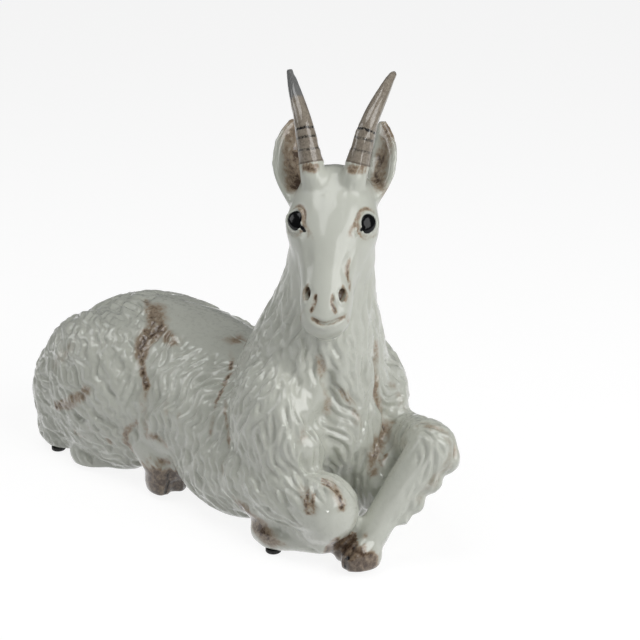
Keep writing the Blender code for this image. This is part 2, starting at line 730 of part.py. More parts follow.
def bumper_pad(name, collection, x, y):
    """A turned rubber foot, flat where it sticks to the base and rounded at the table."""
    radius = PAD_DIAMETER / 2
    profile = [(0, PAD_HEIGHT), (radius, PAD_HEIGHT), (radius, 0.4 * PAD_HEIGHT)]
    profile += [(radius - 0.12 * PAD_HEIGHT, 0.12 * PAD_HEIGHT), (radius - 0.4 * PAD_HEIGHT, 0), (0, 0)]
    bm = bmesh.new()
    verts = [bm.verts.new((across, 0, up)) for across, up in profile]
    for one, two in zip(verts, verts[1:]):
        bm.edges.new((one, two))
    pad = add_object(name, bm, collection)
    turned = pad.modifiers.new("turn", "SCREW")
    turned.steps = turned.render_steps = 20
    turned.use_merge_vertices = True
    turned.merge_threshold = 0.00005
    pad.location = (x, y, 0)
    return pad


def goat_body(collection, cutters):
    bm = bmesh.new()
    torso(bm)
    neck(bm)
    skull(bm)
    face(bm)
    horns_and_ears(bm)
    tail(bm)
    right_foreleg(bm)
    folded_cannon(bm)
    left_foreleg(bm)
    for side in (1, -1):
        hind_foot(bm, side)
    goat = fused("goat", bm, collection, SKIN_VOXEL, 5)
    places, normals = skin_arrays(goat)
    carve_coat(goat, places, normals)
    carve_creases(places, normals)
    carve_face(places, normals)
    carve_ears(places, normals)
    carve_hooves(places, normals)
    move_skin(goat, places)
    decimate(goat, SKIN_TRIANGLES)
    cut(goat, slab("base_plane", cutters, BASE_HEIGHT))
    cut(goat, hollow_core(cutters))
    cut(goat, vent(cutters))
    return goat


def build():
    for obj in list(bpy.data.objects):
        bpy.data.objects.remove(obj)
    collection = bpy.data.collections.new("goat_figurine")
    cutters = bpy.data.collections.new("cutters")
    for group in (collection, cutters):
        bpy.context.scene.collection.children.link(group)
    goat = goat_body(collection, cutters)
    goat.data.materials.append(glaze("white_glaze", GLAZE_WHITE, 0.15))
    rubber = glaze("black_rubber", RUBBER_BLACK, 0.7)
    x, y = BODY_LENGTH, BODY_WIDTH
    seats = {
        "pad_rear_right": (-0.742 * x, -0.36 * y),
        "pad_rear_left": (-0.720 * x, 0.25 * y),
        "pad_front_right": (0.048 * x, -0.462 * y),
        "pad_front_left": (0.060 * x, 0.09 * y),
    }
    for name, (along, across) in seats.items():
        pad = bumper_pad(name, collection, along, across)
        pad.data.materials.append(rubber)
    centre_on_origin(goat, (collection, cutters))
    return collection


def centre_on_origin(goat, groups):
    """Slide the model level, so that the middle of its box stands over the origin."""
    places, _ = skin_arrays(goat)
    above = places[places[:, 2] > BASE_HEIGHT]
    middle = (above.min(axis=0) + above.max(axis=0)) / 2
    for group in groups:
        for obj in group.objects:
            obj.location.x -= middle[0]
            obj.location.y -= middle[1]


if __name__ == "__main__":
    build()
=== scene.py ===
"""Looks of a glazed ceramic goat lying down: the combed coat, the modelled face and the painted wash.

The casting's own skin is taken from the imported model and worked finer: strands are combed over it along the
lie of the hair, the face, horns and hooves are modelled, and the wash and black glaze are painted on.
Places are in the modeller's own frame, whose zero lies over the elbows; see ModelFrame.
"""

import logging
import math
from contextlib import contextmanager
from dataclasses import dataclass, field
from enum import Enum
from typing import Iterable, Iterator

import bpy
import numpy as np
from mathutils import Matrix, Vector
from mathutils.bvhtree import BVHTree
from mathutils.kdtree import KDTree

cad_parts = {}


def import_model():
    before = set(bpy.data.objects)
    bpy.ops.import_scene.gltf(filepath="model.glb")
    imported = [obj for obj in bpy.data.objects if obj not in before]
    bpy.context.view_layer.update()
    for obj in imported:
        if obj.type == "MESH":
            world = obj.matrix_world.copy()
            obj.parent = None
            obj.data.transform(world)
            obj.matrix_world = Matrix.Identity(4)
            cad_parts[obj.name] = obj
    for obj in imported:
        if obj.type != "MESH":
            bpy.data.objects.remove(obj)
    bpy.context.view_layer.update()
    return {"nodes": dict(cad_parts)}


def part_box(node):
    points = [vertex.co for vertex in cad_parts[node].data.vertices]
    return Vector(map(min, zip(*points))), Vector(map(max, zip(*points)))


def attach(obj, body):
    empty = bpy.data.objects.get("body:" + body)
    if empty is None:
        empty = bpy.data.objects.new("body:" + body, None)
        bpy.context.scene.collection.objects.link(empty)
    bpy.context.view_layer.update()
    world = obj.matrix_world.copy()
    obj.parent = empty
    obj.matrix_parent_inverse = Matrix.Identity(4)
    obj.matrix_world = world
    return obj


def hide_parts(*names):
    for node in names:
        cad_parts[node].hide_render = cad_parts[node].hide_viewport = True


log = logging.getLogger("goat_figurine")

MM = 0.001
Array = np.ndarray
Side = int  # 1 for the goat's left, -1 for its right
SIDES: tuple[Side, Side] = (1, -1)

# Heights of the horns' rings above their collars in millimetres, and how strongly each is inked
HORN_RINGS = ((10.7, 0.6), (19.5, 0.75), (25.8, 1.1))


class Tone(Enum):
    """Colours of the glazes, linear."""

    GLAZE_WHITE = (0.63, 0.645, 0.575)
    # Grey of glaze pooled in the furrows, made deeper there to paint in the furrows' shade; also a plain grey for tint
    # and dust
    POOLED_GREY = (0.27, 0.265, 0.21)
    WASH_TAN = (0.33, 0.235, 0.15)
    WASH_UMBER = (0.062, 0.033, 0.018)
    HORN_TAUPE = (0.33, 0.29, 0.235)
    HORN_SLATE = (0.17, 0.18, 0.185)
    INK_BLACK = (0.004, 0.004, 0.0045)
    BUMPER_BLACK = (0.012, 0.012, 0.012)
    STUDIO_FLOOR = (0.80, 0.80, 0.80)

    @property
    def rgba(self) -> tuple[float, float, float, float]:
        """The tone with full alpha."""
        return (*self.value, 1.0)


# Small mesh helpers


def deselect_all() -> None:
    """Leave edit mode and drop the whole selection."""
    if bpy.context.object and bpy.context.object.mode != "OBJECT":
        bpy.ops.object.mode_set(mode="OBJECT")
    for obj in bpy.context.selected_objects:
        obj.select_set(False)


def make_active(obj: bpy.types.Object) -> None:
    """Select one object alone and make it the active one.

    Args:
        obj: The object to work on.
    """
    deselect_all()
    obj.select_set(True)
    bpy.context.view_layer.objects.active = obj


@contextmanager
def editing(obj: bpy.types.Object) -> Iterator[None]:
    """Edit mode on one object, and object mode after it.

    Args:
        obj: The object to edit.

    Yields:
        Nothing.
    """
    make_active(obj)
    bpy.ops.object.mode_set(mode="EDIT")
    yield
    bpy.ops.object.mode_set(mode="OBJECT")


def apply_modifier(obj: bpy.types.Object, kind: str, **settings: object) -> None:
    """Add a modifier and apply it.

    Args:
        obj: The object to change.
        kind: The modifier's type.
        **settings: Values set on the modifier.
    """
    make_active(obj)
    modifier = obj.modifiers.new(kind.lower(), kind)
    for name, value in settings.items():
        setattr(modifier, name, value)
    bpy.ops.object.modifier_apply(modifier=modifier.name)


def read_skin(obj: bpy.types.Object) -> tuple[Array, Array]:
    """Vertex places and normals.

    Args:
        obj: A mesh object.

    Returns:
        Two arrays of one row per vertex.
    """
    mesh = obj.data
    places = np.empty(len(mesh.vertices) * 3)
    normals = np.empty(len(mesh.vertices) * 3)
    mesh.vertices.foreach_get("co", places)
    mesh.vertices.foreach_get("normal", normals)
    return places.reshape(-1, 3), normals.reshape(-1, 3)


def write_skin(obj: bpy.types.Object, places: Array) -> None:
    """Put the vertices at new places.

    Args:
        obj: A mesh object.
        places: One row per vertex.
    """
    obj.data.vertices.foreach_set("co", places.ravel())
    obj.data.update()


def keep_attribute(obj: bpy.types.Object, name: str, values: Array) -> None:
    """Store a number per vertex for the materials.

    Args:
        obj: A mesh object.
        name: The attribute's name.
        values: One number per vertex.
    """
    attribute = obj.data.attributes.new(name, "FLOAT", "POINT")
    attribute.data.foreach_set("value", values.astype(np.float32))


def rounded_path(points: Array, steps: int = 6) -> Array:
    """A path refined along a smooth curve through its points.

    Args:
        points: Rows of numbers.
        steps: New points between each two.

    Returns:
        The refined rows.
    """
    rows = np.array(points, float)
    padded = np.vstack([2 * rows[0] - rows[1], rows, 2 * rows[-1] - rows[-2]])
    refined = []
    for i in range(len(rows) - 1):
        p0, p1, p2, p3 = padded[i : i + 4]
        for t in np.arange(steps) / steps:
            bend = (2 * p0 - 5 * p1 + 4 * p2 - p3) * t**2 + (3 * p1 - p0 - 3 * p2 + p3) * t**3
            refined.append((2 * p1 + (p2 - p0) * t + bend) / 2)
    refined.append(rows[-1])
    return np.array(refined)


def along_path(places: Array, path: Array) -> tuple[Array, Array]:
    """Distance of each place to a path, and how far along the path its nearest point lies.

    Args:
        places: Rows of places.
        path: Rows of the path's points.

    Returns:
        Distances in metres, and runs from 0 to 1.
    """
    best = np.full(len(places), 1e9)
    run = np.zeros(len(places))
    lengths = np.linalg.norm(np.diff(path, axis=0), axis=1)
    starts = np.concatenate([[0], np.cumsum(lengths)])
    for i, length in enumerate(lengths):
        ahead = (path[i + 1] - path[i]) / max(length, 1e-9)
        offset = places - path[i]
        share = np.clip(offset @ ahead, 0, length)
        gap = np.linalg.norm(offset - np.outer(share, ahead), axis=1)
        closer = gap < best
        best = np.where(closer, gap, best)
        run = np.where(closer, (starts[i] + share) / starts[-1], run)
    return best, run


def laid_path(places: Array, points: Iterable[Vector]) -> Array:
    """A smooth path laid on a skin, through the vertices nearest to some points.

    Args:
        places: The skin's vertices.
        points: Points near the skin.

    Returns:
        Rows of places.
    """
    nearest = [int(np.argmin(np.linalg.norm(places - np.array(point), axis=1))) for point in points]
    return rounded_path(places[nearest])


def soft_step(values: Array) -> Array:
    """An eased ramp from 0 to 1.

    Args:
        values: Numbers, of which those from 0 to 1 lie on the ramp.

    Returns:
        The eased numbers.
    """
    clipped = np.clip(values, 0, 1)
    return clipped * clipped * (3 - 2 * clipped)


# Places on the goat


@dataclass
class ModelFrame:
    """Turns the modeller's places into the row's places.

    The row is centred over its own box, so the slide is read from where a bumper pad stands in it.
    """

    body_length: float = 0.352
    body_width: float = 0.168
    back_height: float = 0.147
    base_height: float = 0.0038
    head_length: float = 0.122
    head_turn: float = math.radians(-57)
    head_nod: float = math.radians(56)
    poll_height: float = 0.296
    horn_length: float = 0.090
    horn_spacing: float = 0.031
    horn_spread: float = 0.84
    horn_drop: float = 0.03
    slide: Vector = field(default_factory=Vector)

    def settle(self) -> None:
        """Read the slide from the front left bumper pad."""
        low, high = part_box("pad_front_left")
        seat = Vector((0.060 * self.body_length, 0.09 * self.body_width, 0))
        self.slide = Vector(((low.x + high.x) / 2 - seat.x, (low.y + high.y) / 2 - seat.y, 0))

    def place(self, x: float, y: float, z: float) -> Vector:
        """A point given in millimetres in the modeller's frame.

        Args:
            x: Towards the chest.
            y: Towards the goat's left.
            z: Above the table.

        Returns:
            The point in the row's frame.
        """
        return Vector((x * MM, y * MM, z * MM)) + self.slide

    def share(self, x: float, y: float, z: float) -> Vector:
        """A point given in percentages of the body's length, width and height.

        Args:
            x: Towards the chest.
            y: Towards the goat's left.
            z: Above the table.

        Returns:
            The point in the row's frame.
        """
        sizes = (self.body_length, self.body_width, self.back_height)
        return Vector([v / 100 * s for v, s in zip((x, y, z), sizes)]) + self.slide

    def head(self) -> Matrix:
        """Frame of the head at the poll: X down the face, Y to the goat's left, Z out of the face."""
        poll = Vector((0.0743 * self.body_length, -0.102 * self.body_width, self.poll_height)) + self.slide
        turn = Matrix.Rotation(self.head_turn, 4, "Z")
        return Matrix.Translation(poll) @ turn @ Matrix.Rotation(self.head_nod, 4, "Y")

    def on_head(self, x: float, y: float, z: float) -> Vector:
        """A point given in millimetres in the head's frame.

        Args:
            x: Down the face.
            y: Towards the goat's left.
            z: Out of the face.

        Returns:
            The point in the row's frame.
        """
        return self.head() @ Vector((x * MM, y * MM, z * MM))

    def left_toe(self) -> Vector:
        """Where the left front hoof meets the table."""
        return self.share(23.1, -35.0, 0)

    def hind_toe(self, side: Side) -> Vector:
        """Where a hind hoof meets the table.

        Args:
            side: 1 for the goat's left, -1 for its right.

        Returns:
            The point.
        """
        return self.share(-33.7, side * 35.6, 0)

    def horn_path(self, side: Side) -> Array:
        """The line up the middle of a horn, root first.

        Args:
            side: 1 for the goat's left, -1 for its right.

        Returns:
            Rows of places.
        """
        rows = [(2, -14, 0), (-10, -11, 3), (-42, -1, 12), (-75, -6, 25), (-98, -16, 34)]
        points = []
        for along, out, spread in rows:
            x = along / 100 * self.horn_length - self.horn_drop * self.head_length
            y = side * (self.horn_spacing / 2 + spread / 100 * self.horn_length * self.horn_spread)
            points.append(self.head() @ Vector((x, y, out / 100 * self.horn_length)))
        return rounded_path(np.array(points), 8)


# The coat


@dataclass
class HairLie:
    """Which way the hair lies, and where the skin is smooth."""

    model: ModelFrame
    wave: float = 0.023
    swing: float = math.radians(34)
    haunch_from: float = -0.13
    chest_from: float = 0.0
    ramp: float = 0.03
    guide_reach: float = 0.012

    def guides(self) -> tuple[Array, Array]:
        """Places on the coat and the hair's direction there.

        Returns:
            Rows of places, and rows of directions.
        """
        rows = [
            (-80, -30, 30, 0.2, 0.0, -1.0),
            (-78, -38, 62, 0.6, -0.2, -0.8),
            (-72, -46, 45, 0.9, -0.1, -0.6),
            (-66, -42, 84, 0.7, -0.4, -0.8),
            (-58, -50, 60, 1.0, -0.1, -0.7),
            (-56, -50, 35, 1.0, 0.0, -0.5),
            (-60, -46, 15, 0.9, 0.0, -0.5),
            (-50, -36, 84, 0.5, -0.5, -1.0),
            (-46, -46, 50, 0.7, 0.0, -0.9),
            (-38, -44, 60, 0.1, -0.2, -1.0),
            (-34, -46, 35, 0.2, 0.0, -1.0),
            (-30, -34, 84, -0.1, -0.6, -1.0),
            (-24, -46, 70, -0.5, -0.3, -1.0),
            (-24, -48, 35, 0.0, 0.0, -1.0),
            (-14, -44, 70, -0.6, -0.3, -0.9),
            (-14, -50, 30, 0.3, 0.0, -1.0),
            (-8, -46, 50, 0.1, 0.0, -1.0),
            (-8, -34, 88, -0.8, -0.5, -0.8),
            (2, -48, 80, -0.3, -0.2, -1.0),
            (5, -50, 66, 0.1, -0.1, -1.0),
            (-3, -54, 24, 0.8, 0.0, -0.7),
            (10, -53, 45, 0.9, 0.0, -0.6),
            (11, -54, 30, 1.0, 0.0, -0.3),
            (9, -32, 96, -0.1, -0.2, -1.0),
            (12.8, -22.6, 102, 0.4, 0.35, -0.85),
            (13.6, -21.4, 90, 0.57, 0.48, -0.65),
            (14.2, -20, 76, 0.65, 0.55, -0.5),
            (13, -36, 71, 0.2, -0.1, -1.0),
            (14.2, -27, 67, 0.6, 0.5, -0.6),
            (16, -12, 95, 0.05, 0.02, -1.0),
            (16.5, -2, 100, -0.3, -0.26, -0.9),
            (17, -1, 82, -0.3, -0.25, -0.9),
            (18, -4, 66, 0.1, -0.3, -1.0),
            (20, -8, 52, -0.2, -0.6, -0.8),
            (16, 17, 87, 0.5, 0.8, -0.15),
            (17, 17, 79, 0.5, 0.8, -0.15),
            (17.6, 18, 69, 0.5, 0.8, -0.15),
            (-2, -10, 125, -0.4, -0.2, -1.0),
            (3, -30, 130, -0.3, -0.2, -1.0),
            (15, -6, 130, 0.2, 0.0, -1.0),
            (12, 12, 130, 0.0, 0.3, -1.0),
            (13, 30, 80, 0.0, 0.1, -1.0),
            (36, 4, 60, -0.2, -0.3, -1.0),
            (33, -6, 42, -0.3, -0.5, -1.0),
            (34, 2, 75, 0.8, 0.4, -0.3),
            (-90, 0, 45, 0.0, 0.0, -1.0),
            (-80, 0, 80, -0.8, 0.0, -0.8),
        ]
        mirrored = [(x, -y, z, dx, -dy, dz) for x, y, z, dx, dy, dz in rows if x < 0 and y < -20]
        table = np.array(rows + mirrored)
        places = np.array([self.model.share(*row[:3]) for row in table])
        return places, table[:, 3:]

    def flow(self, places: Array, normals: Array) -> Array:
        """The hair's direction at each place, swung to and fro down the strand.

        Args:
            places: Rows of places on the skin.
            normals: The skin's normals there.

        Returns:
            Rows of unit directions in the skin.
        """
        spots, flows = self.guides()
        gaps = np.sum((places[:, None, :] - spots[None]) ** 2, axis=2)
        weights = 1 / (gaps + self.guide_reach**2) ** 2
        flow = weights @ flows
        flow -= normals * np.sum(flow * normals, axis=1)[:, None]
        flow /= np.linalg.norm(flow, axis=1)[:, None] + 1e-9
        x, y, z = (places - np.array(self.model.slide)).T
        haunch = soft_step((self.haunch_from - x) / self.ramp)
        chest = soft_step((x - self.chest_from) / self.ramp)
        phase = (0.45 * (x - self.haunch_from) - z) / self.wave * (1 + 0.35 * haunch)
        phase += 0.9 * np.sin(x * 41) + 0.7 * np.sin(y * 53 + 1) + 0.5 * np.sin(z * 61)
        swing = self.swing * (1 + 0.2 * haunch - 0.45 * chest) * np.sin(2 * math.pi * phase)
        return flow * np.cos(swing)[:, None] + np.cross(normals, flow) * np.sin(swing)[:, None]

    def smooth_spots(self) -> list[tuple[Vector, float]]:
        """Spheres of the skin that carry no strands, each a centre and a radius."""
        model = self.model
        return [
            (model.on_head(36, 0, -4), 0.054),
            (model.on_head(82, 0, -6), 0.042),
            (model.on_head(-36, 0, -12), 0.072),
            (model.place(95, -20, 74), 0.022),
            (model.place(90, -32, 56), 0.021),
            (model.place(84, -44, 38), 0.021),
            (model.place(82, -56, 20), 0.030),
            (model.place(100, -16, 96), 0.016),
            (model.share(20.5, -43, 30), 0.026),
            (model.share(2, -48, 10), 0.022),
            (model.share(12, -46, 8), 0.018),
            (model.share(-35, 40, 20), 0.028),
            (model.share(-35, -40, 20), 0.028),
            (model.place(36, -52, 126), 0.015),
            (model.place(-105, 3, 158), 0.048),
            (model.place(-150, 8, 166), 0.046),
            (model.place(-62, -2, 150), 0.040),
        ]

    def depth(self, places: Array, normals: Array) -> Array:
        """How deep the strands are cut at each place, from 0 to 1.

        Args:
            places: Rows of places on the skin.
            normals: The skin's normals there.

        Returns:
            One number for each place.
        """
        depth = np.clip((places[:, 2] - self.model.base_height) / 0.006, 0, 1)
        depth *= np.clip((normals[:, 2] + 0.9) / 0.25, 0, 1)
        for centre, radius in self.smooth_spots():
            gap = np.linalg.norm(places - np.array(centre), axis=1) / radius
            depth *= np.clip((gap - 0.85) / 0.3, 0, 1)
        return depth


class StrandGrid:
    """The strands' points in cells, to tell quickly how near the next strand runs."""

    def __init__(self, size: float) -> None:
        """Start with no points.

        Args:
            size: The cells' width.
        """
        self.inverse = 1 / size
        self.cells: dict[tuple[int, ...], list[tuple[float, float, float, int]]] = {}

    def put(self, point: Vector, own: int) -> None:
        """Keep a point.

        Args:
            point: The point.
            own: Its strand's number.
        """
        key = tuple(math.floor(v * self.inverse) for v in point)
        self.cells.setdefault(key, []).append((*point, own))

    def crowded(self, point: Vector, limit: float, own: int = -1) -> bool:
        """Whether another strand runs too near.

        Args:
            point: Where to look.
            limit: The square of the distance that is too near.
            own: A strand that doesn't count.

        Returns:
            True if one does.
        """
        x, y, z = point
        i, j, k = (math.floor(v * self.inverse) for v in (x, y, z))
        for a in (i - 1, i, i + 1):
            for b in (j - 1, j, j + 1):
                for c in (k - 1, k, k + 1):
                    for px, py, pz, other in self.cells.get((a, b, c), ()):
                        if other != own and (px - x) ** 2 + (py - y) ** 2 + (pz - z) ** 2 < limit:
                            return True
        return False


@dataclass
class CoatComb:
    """Combs strands over the skin: evenly spaced furrows that follow the hair.

    Strands start at apart times the spacing from others and stop at near times it. A strand starts where
    the coat is deeper than start_depth, and stops where it is less deep than stop_depth.
    """

    lie: HairLie
    spacing: float = 0.0072
    step: float = 0.0014
    longest: float = 0.070
    cut: float = 0.0028
    seed: int = 11
    near: float = 0.55
    apart: float = 0.93
    start_depth: float = 0.3
    stop_depth: float = 0.2
    half_width: float = 0.52
    least_points: int = 5
    points: Array = field(default_factory=lambda: np.zeros((0, 3)))
    fades: Array = field(default_factory=lambda: np.zeros(0))
    owners: Array = field(default_factory=lambda: np.zeros(0, int))

    def trace(self, obj: bpy.types.Object) -> None:
        """Trace all the strands over a skin.

        Args:
            obj: The skin to comb.
        """
        places, normals = read_skin(obj)
        faces = [tuple(p.vertices) for p in obj.data.polygons]
        bvh = BVHTree.FromPolygons(places.tolist(), faces)
        flow = self.lie.flow(places, normals).tolist()
        deep = self.lie.depth(places, normals).tolist()
        grid = StrandGrid(self.spacing)
        near, apart = (self.near * self.spacing) ** 2, (self.apart * self.spacing) ** 2

        def walk(point: Vector, corner: int, sense: int, own: int, length: float) -> list[tuple[Vector, int]]:
            """Walk one half of a strand, from its start outwards.

            Args:
                point: Where it starts.
                corner: The skin's vertex there.
                sense: 1 with the hair, -1 against it.
                own: The strand's number.
                length: How far it may go.

            Returns:
                Its points, each with the skin's vertex there.
            """
            found = []
            for _ in range(int(length / self.step)):
                ahead = Vector(flow[corner]) * (self.step * sense)
                on_skin, _, face, _ = bvh.find_nearest(point + ahead)
                if on_skin is None:
                    break
                point, corner = on_skin, faces[face][0]
                if deep[corner] < self.stop_depth or grid.crowded(point, near, own):
                    break
                found.append((point, corner))
            return found

        chance = np.random.default_rng(self.seed)
        starts = [int(v) for v in chance.permutation(len(places))[: len(places) // 2] if deep[v] > 0.4]
        strands: list[list[Vector]] = []
        waiting: list[tuple[Vector, int]] = []
        while starts or waiting:
            if waiting:
                start, corner = waiting.pop(0)
            else:
                corner = starts.pop()
                start = Vector(places[corner])
            if deep[corner] < self.start_depth or grid.crowded(start, apart):
                continue
            own = len(strands)
            half = self.longest * (0.35 + 0.65 * float(chance.random())) / 2
            before = walk(start, corner, -1, own, half)
            after = walk(start, corner, 1, own, half)
            strand = before[::-1] + [(start, corner)] + after
            if len(strand) < self.least_points:
                continue
            for n, (point, place) in enumerate(strand):
                grid.put(point, own)
                if n % 3 == 1:
                    aside = Vector(normals[place]).cross(Vector(flow[place])).normalized() * self.spacing
                    for side in SIDES:
                        beside, _, face, gap = bvh.find_nearest(point + aside * side)
                        if beside is not None and gap < self.spacing:
                            waiting.append((beside, faces[face][0]))
            strands.append([point for point, _ in strand])
        self.keep(strands, chance)

    def keep(self, strands: list[list[Vector]], chance: np.random.Generator) -> None:
        """Keep the strands' points, and how deep each is cut, which is less towards a strand's ends.

        Args:
            strands: Each strand's points.
            chance: Where the strands' own weights come from.
        """
        self.points = np.array([p for strand in strands for p in strand])
        self.owners = np.array([n for n, strand in enumerate(strands) for _ in strand])
        fades = []
        for strand in strands:
            weight = 0.65 + 0.5 * float(chance.random())
            share = (np.arange(len(strand)) + 1) / (len(strand) + 1)
            fades.append(weight * np.sin(math.pi * share) ** 0.5)
        self.fades = np.concatenate(fades)
        log.info("combed %d strands, %d points", len(strands), len(self.points))

    def furrow(self, places: Array) -> Array:
        """How deep in a furrow each place lies, from 0 on a strand's crest to 1 in the furrow.

        Args:
            places: Rows of places.

        Returns:
            One number for each place.
        """
        tree = KDTree(len(self.points))
        for i, point in enumerate(self.points):
            tree.insert(point, i)
        tree.balance()
        nearest = np.array([tree.find(place)[1] for place in places])
        gap = np.linalg.norm(places - self.points[nearest], axis=1)
        for other in (nearest - 1, nearest + 1):
            other = np.clip(other, 0, len(self.points) - 1)
            same = self.owners[other] == self.owners[nearest]
            ahead = self.points[other] - self.points[nearest]
            length = np.linalg.norm(ahead, axis=1) + 1e-12
            ahead /= length[:, None]
            offset = places - self.points[nearest]
            share = np.clip(np.sum(offset * ahead, axis=1), 0, length)
            sideways = np.linalg.norm(offset - ahead * share[:, None], axis=1)
            gap = np.where(same & (sideways < gap), sideways, gap)
        inside = np.clip(1 - gap / (self.half_width * self.spacing), 0, 1)
        return inside**1.35 * self.fades[nearest]

    def carve(self, obj: bpy.types.Object, hollow: BVHTree, least_wall: float) -> None:
        """Cut the furrows into a skin, no deeper than its wall allows.

        Args:
            obj: The skin that was traced.
            hollow: The hollow inside it.
            least_wall: What must be left between a furrow and the hollow.
        """
        places, normals = read_skin(obj)
        room = np.array([hollow.find_nearest(place)[3] for place in places.tolist()]) - least_wall
        cut = self.cut * self.furrow(places) * self.lie.depth(places, normals)
        cut = np.minimum(cut, np.maximum(room, 0))
        write_skin(obj, places - normals * cut[:, None])


# Modelled details


@dataclass(frozen=True)
class Patch:
    """A small chart on the skin, with its own axes."""

    centre: Vector
    along: Vector
    out: Vector

    def local(self, places: Array) -> tuple[Array, Array, Array]:
        """Places in the chart's frame, in millimetres.

        Args:
            places: Rows of places.

        Returns:
            Distances along, across and out.
        """
        out = self.out.normalized()
        along = (self.along - out * self.along.dot(out)).normalized()
        across = out.cross(along)
        offset = (places - np.array(self.centre)) / MM
        return offset @ np.array(along), offset @ np.array(across), offset @ np.array(out)


@dataclass
class FaceDetail:
    """Eyes, tear ducts, nostrils, mouth and the planes of the nose, in millimetres.

    Widths of the lids and of the fold round them are shares of the eye.
    """

    model: ModelFrame
    eye_length: float = 8.0
    eye_height: float = 6.3
    eye_bulge: float = 2.9
    duct_radius: float = 1.8
    ink_reach: float = 8.0
    shift: float = 1.8
    eye_sink: float = 0.8
    lid_height: float = 1.1
    lid_width: float = 0.36
    fold_depth: float = 0.5
    fold_width: float = 0.4
    duct_depth: float = 0.9
    nostril_length: float = 5.3
    nostril_height: float = 2.9
    nostril_depth: float = 3.6
    mouth_depth: float = 2.2
    face_reach: float = 85.0

    def turned(self, x: float, y: float, z: float) -> Vector:
        """A direction given in the head's frame.

        Args:
            x: Down the face.
            y: Towards the goat's left.
            z: Out of the face.

        Returns:
            The direction in the row's frame.
        """
        return self.model.head().to_3x3() @ Vector((x, y, z))

    def eye(self, side: Side) -> Patch:
        """The chart of an eye.

        Args:
            side: 1 for the goat's left, -1 for its right.

        Returns:
            The chart.
        """
        centre = self.model.on_head(32.5, side * 29.5 + self.shift, -10.5)
        return Patch(centre, self.turned(0.93, -side * 0.30, 0.16), self.turned(0.02, side * 0.78, 0.62))

    def eye_chart(self, places: Array, side: Side) -> tuple[Array, Array, Array, Array]:
        """Where each place lies round an eye.

        Args:
            places: Rows of places.
            side: 1 for the goat's left, -1 for its right.

        Returns:
            How far out it lies, with 1 at the eye's outline, and millimetres down the face, outwards and up.
        """
        along, across, out = self.eye(side).local(places)
        across = across * side
        pointed = 1 + 0.12 * np.clip(along / self.eye_length, -1, 1)
        ring = np.sqrt((along / self.eye_length) ** 2 + (across * pointed / self.eye_height) ** 2)
        return np.where(np.abs(out) < 12, ring, 9), along, across, out

    def duct(self, side: Side) -> Array:
        """The tear duct's path.

        Args:
            side: Which eye it leaves.

        Returns:
            Rows of places.
        """
        model = self.model
        points = ((37.0, side * 24.0 + self.shift, -8.4), (42.6, side * 19.4 + self.shift, -6.0))
        return np.array([model.on_head(*p) for p in points])

    def nostril(self, side: Side) -> Patch:
        """The chart of a nostril.

        Args:
            side: Which nostril.

        Returns:
            The chart.
        """
        centre = self.model.on_head(90.0, side * 12.7, -7.0)
        return Patch(centre, self.turned(0.95, -side * 0.22, -0.20), self.turned(0.24, side * 0.56, 0.79))

    def nostril_round(self, places: Array, side: Side) -> Array:
        """How far out from the middle of a nostril each place lies.

        Args:
            places: Rows of places.
            side: Which nostril.

        Returns:
            Numbers, with 1 at the nostril's edge.
        """
        along, across, out = self.nostril(side).local(places)
        ring = np.sqrt((along / self.nostril_length) ** 2 + (across / self.nostril_height) ** 2)
        return np.where(np.abs(out) < 9, ring, 9)

    def mouth(self) -> Array:
        """The line of the lips."""
        points = [(106, -11.5, -10), (109.7, -6.8, -6.2), (112.6, -1.9, -5.7), (113.1, 2.5, -6)]
        points += [(111.3, 7.6, -6.1), (107.4, 13.8, -8.2), (103, 17.5, -12)]
        return rounded_path(np.array([self.model.on_head(*p) for p in points]))

    def creases(self) -> list[tuple[list[tuple[float, float, float]], float, float]]:
        """Soft furrows of the face: a path in the head's frame, a half width and a depth, in millimetres."""
        rows = []
        for side in SIDES:
            rows += [
                ([(46, side * 17, -4), (58, side * 14.5, -5), (70, side * 13, -6), (79, side * 13, -7)], 5.0, 0.9),
                ([(90, side * 6.5, -2), (97, side * 6.6, -2.3), (103.5, side * 9.0, -4)], 2.4, 1.1),
                ([(70, side * 20, -20), (82, side * 19, -22), (92, side * 18, -26)], 5.0, 0.8),
                ([(4, side * 7, 0), (18, side * 9, 1), (30, side * 12, 0)], 5.0, 0.5),
                ([(24, side * 24, -4), (32, side * 22, -4), (40, side * 19, -4)], 3.0, 0.6),
                ([(50, side * 27, -12), (62, side * 24, -16), (74, side * 21, -18)], 5.5, 0.9),
            ]
            for n in range(6):
                across = side * (3 + 3.4 * n)
                strand = [(-1 + 0.5 * n, across, 1), (9, 1.1 * across, 0), (19 - 1.2 * n, 1.22 * across, -1)]
                rows.append((strand, 1.7, 0.4))
        rows.append(([(4, 0, 2), (16, 0, 2), (30, 0, 1)], 4.0, 0.6))
        return rows

    def eye_rise(self, spots: Array, side: Side) -> Array:
        """The ball of an eye, its lid and the fold round it.

        Args:
            spots: Rows of places on the face.
            side: Which eye.

        Returns:
            How far each place moves outwards.
        """
        ring, along, across, out = self.eye_chart(spots, side)
        rim = (ring > 0.9) & (ring < 1.2)
        socket = np.column_stack([np.ones(len(ring)), along, across])
        level = socket @ np.linalg.lstsq(socket[rim], out[rim], rcond=None)[0]
        ball = level + self.eye_bulge * np.sqrt(np.clip(1 - ring**2, 0, 1)) - self.eye_sink - out
        lid = self.lid_height * np.sin(np.clip((ring - 1.0) / self.lid_width, 0, 1) * math.pi)
        past_lid = (ring - 1 - self.lid_width) / self.fold_width
        fold = -self.fold_depth * np.sin(np.clip(past_lid, 0, 1) * math.pi)
        return ball * soft_step((1.06 - ring) / 0.08) + (lid + fold) * (ring > 1)

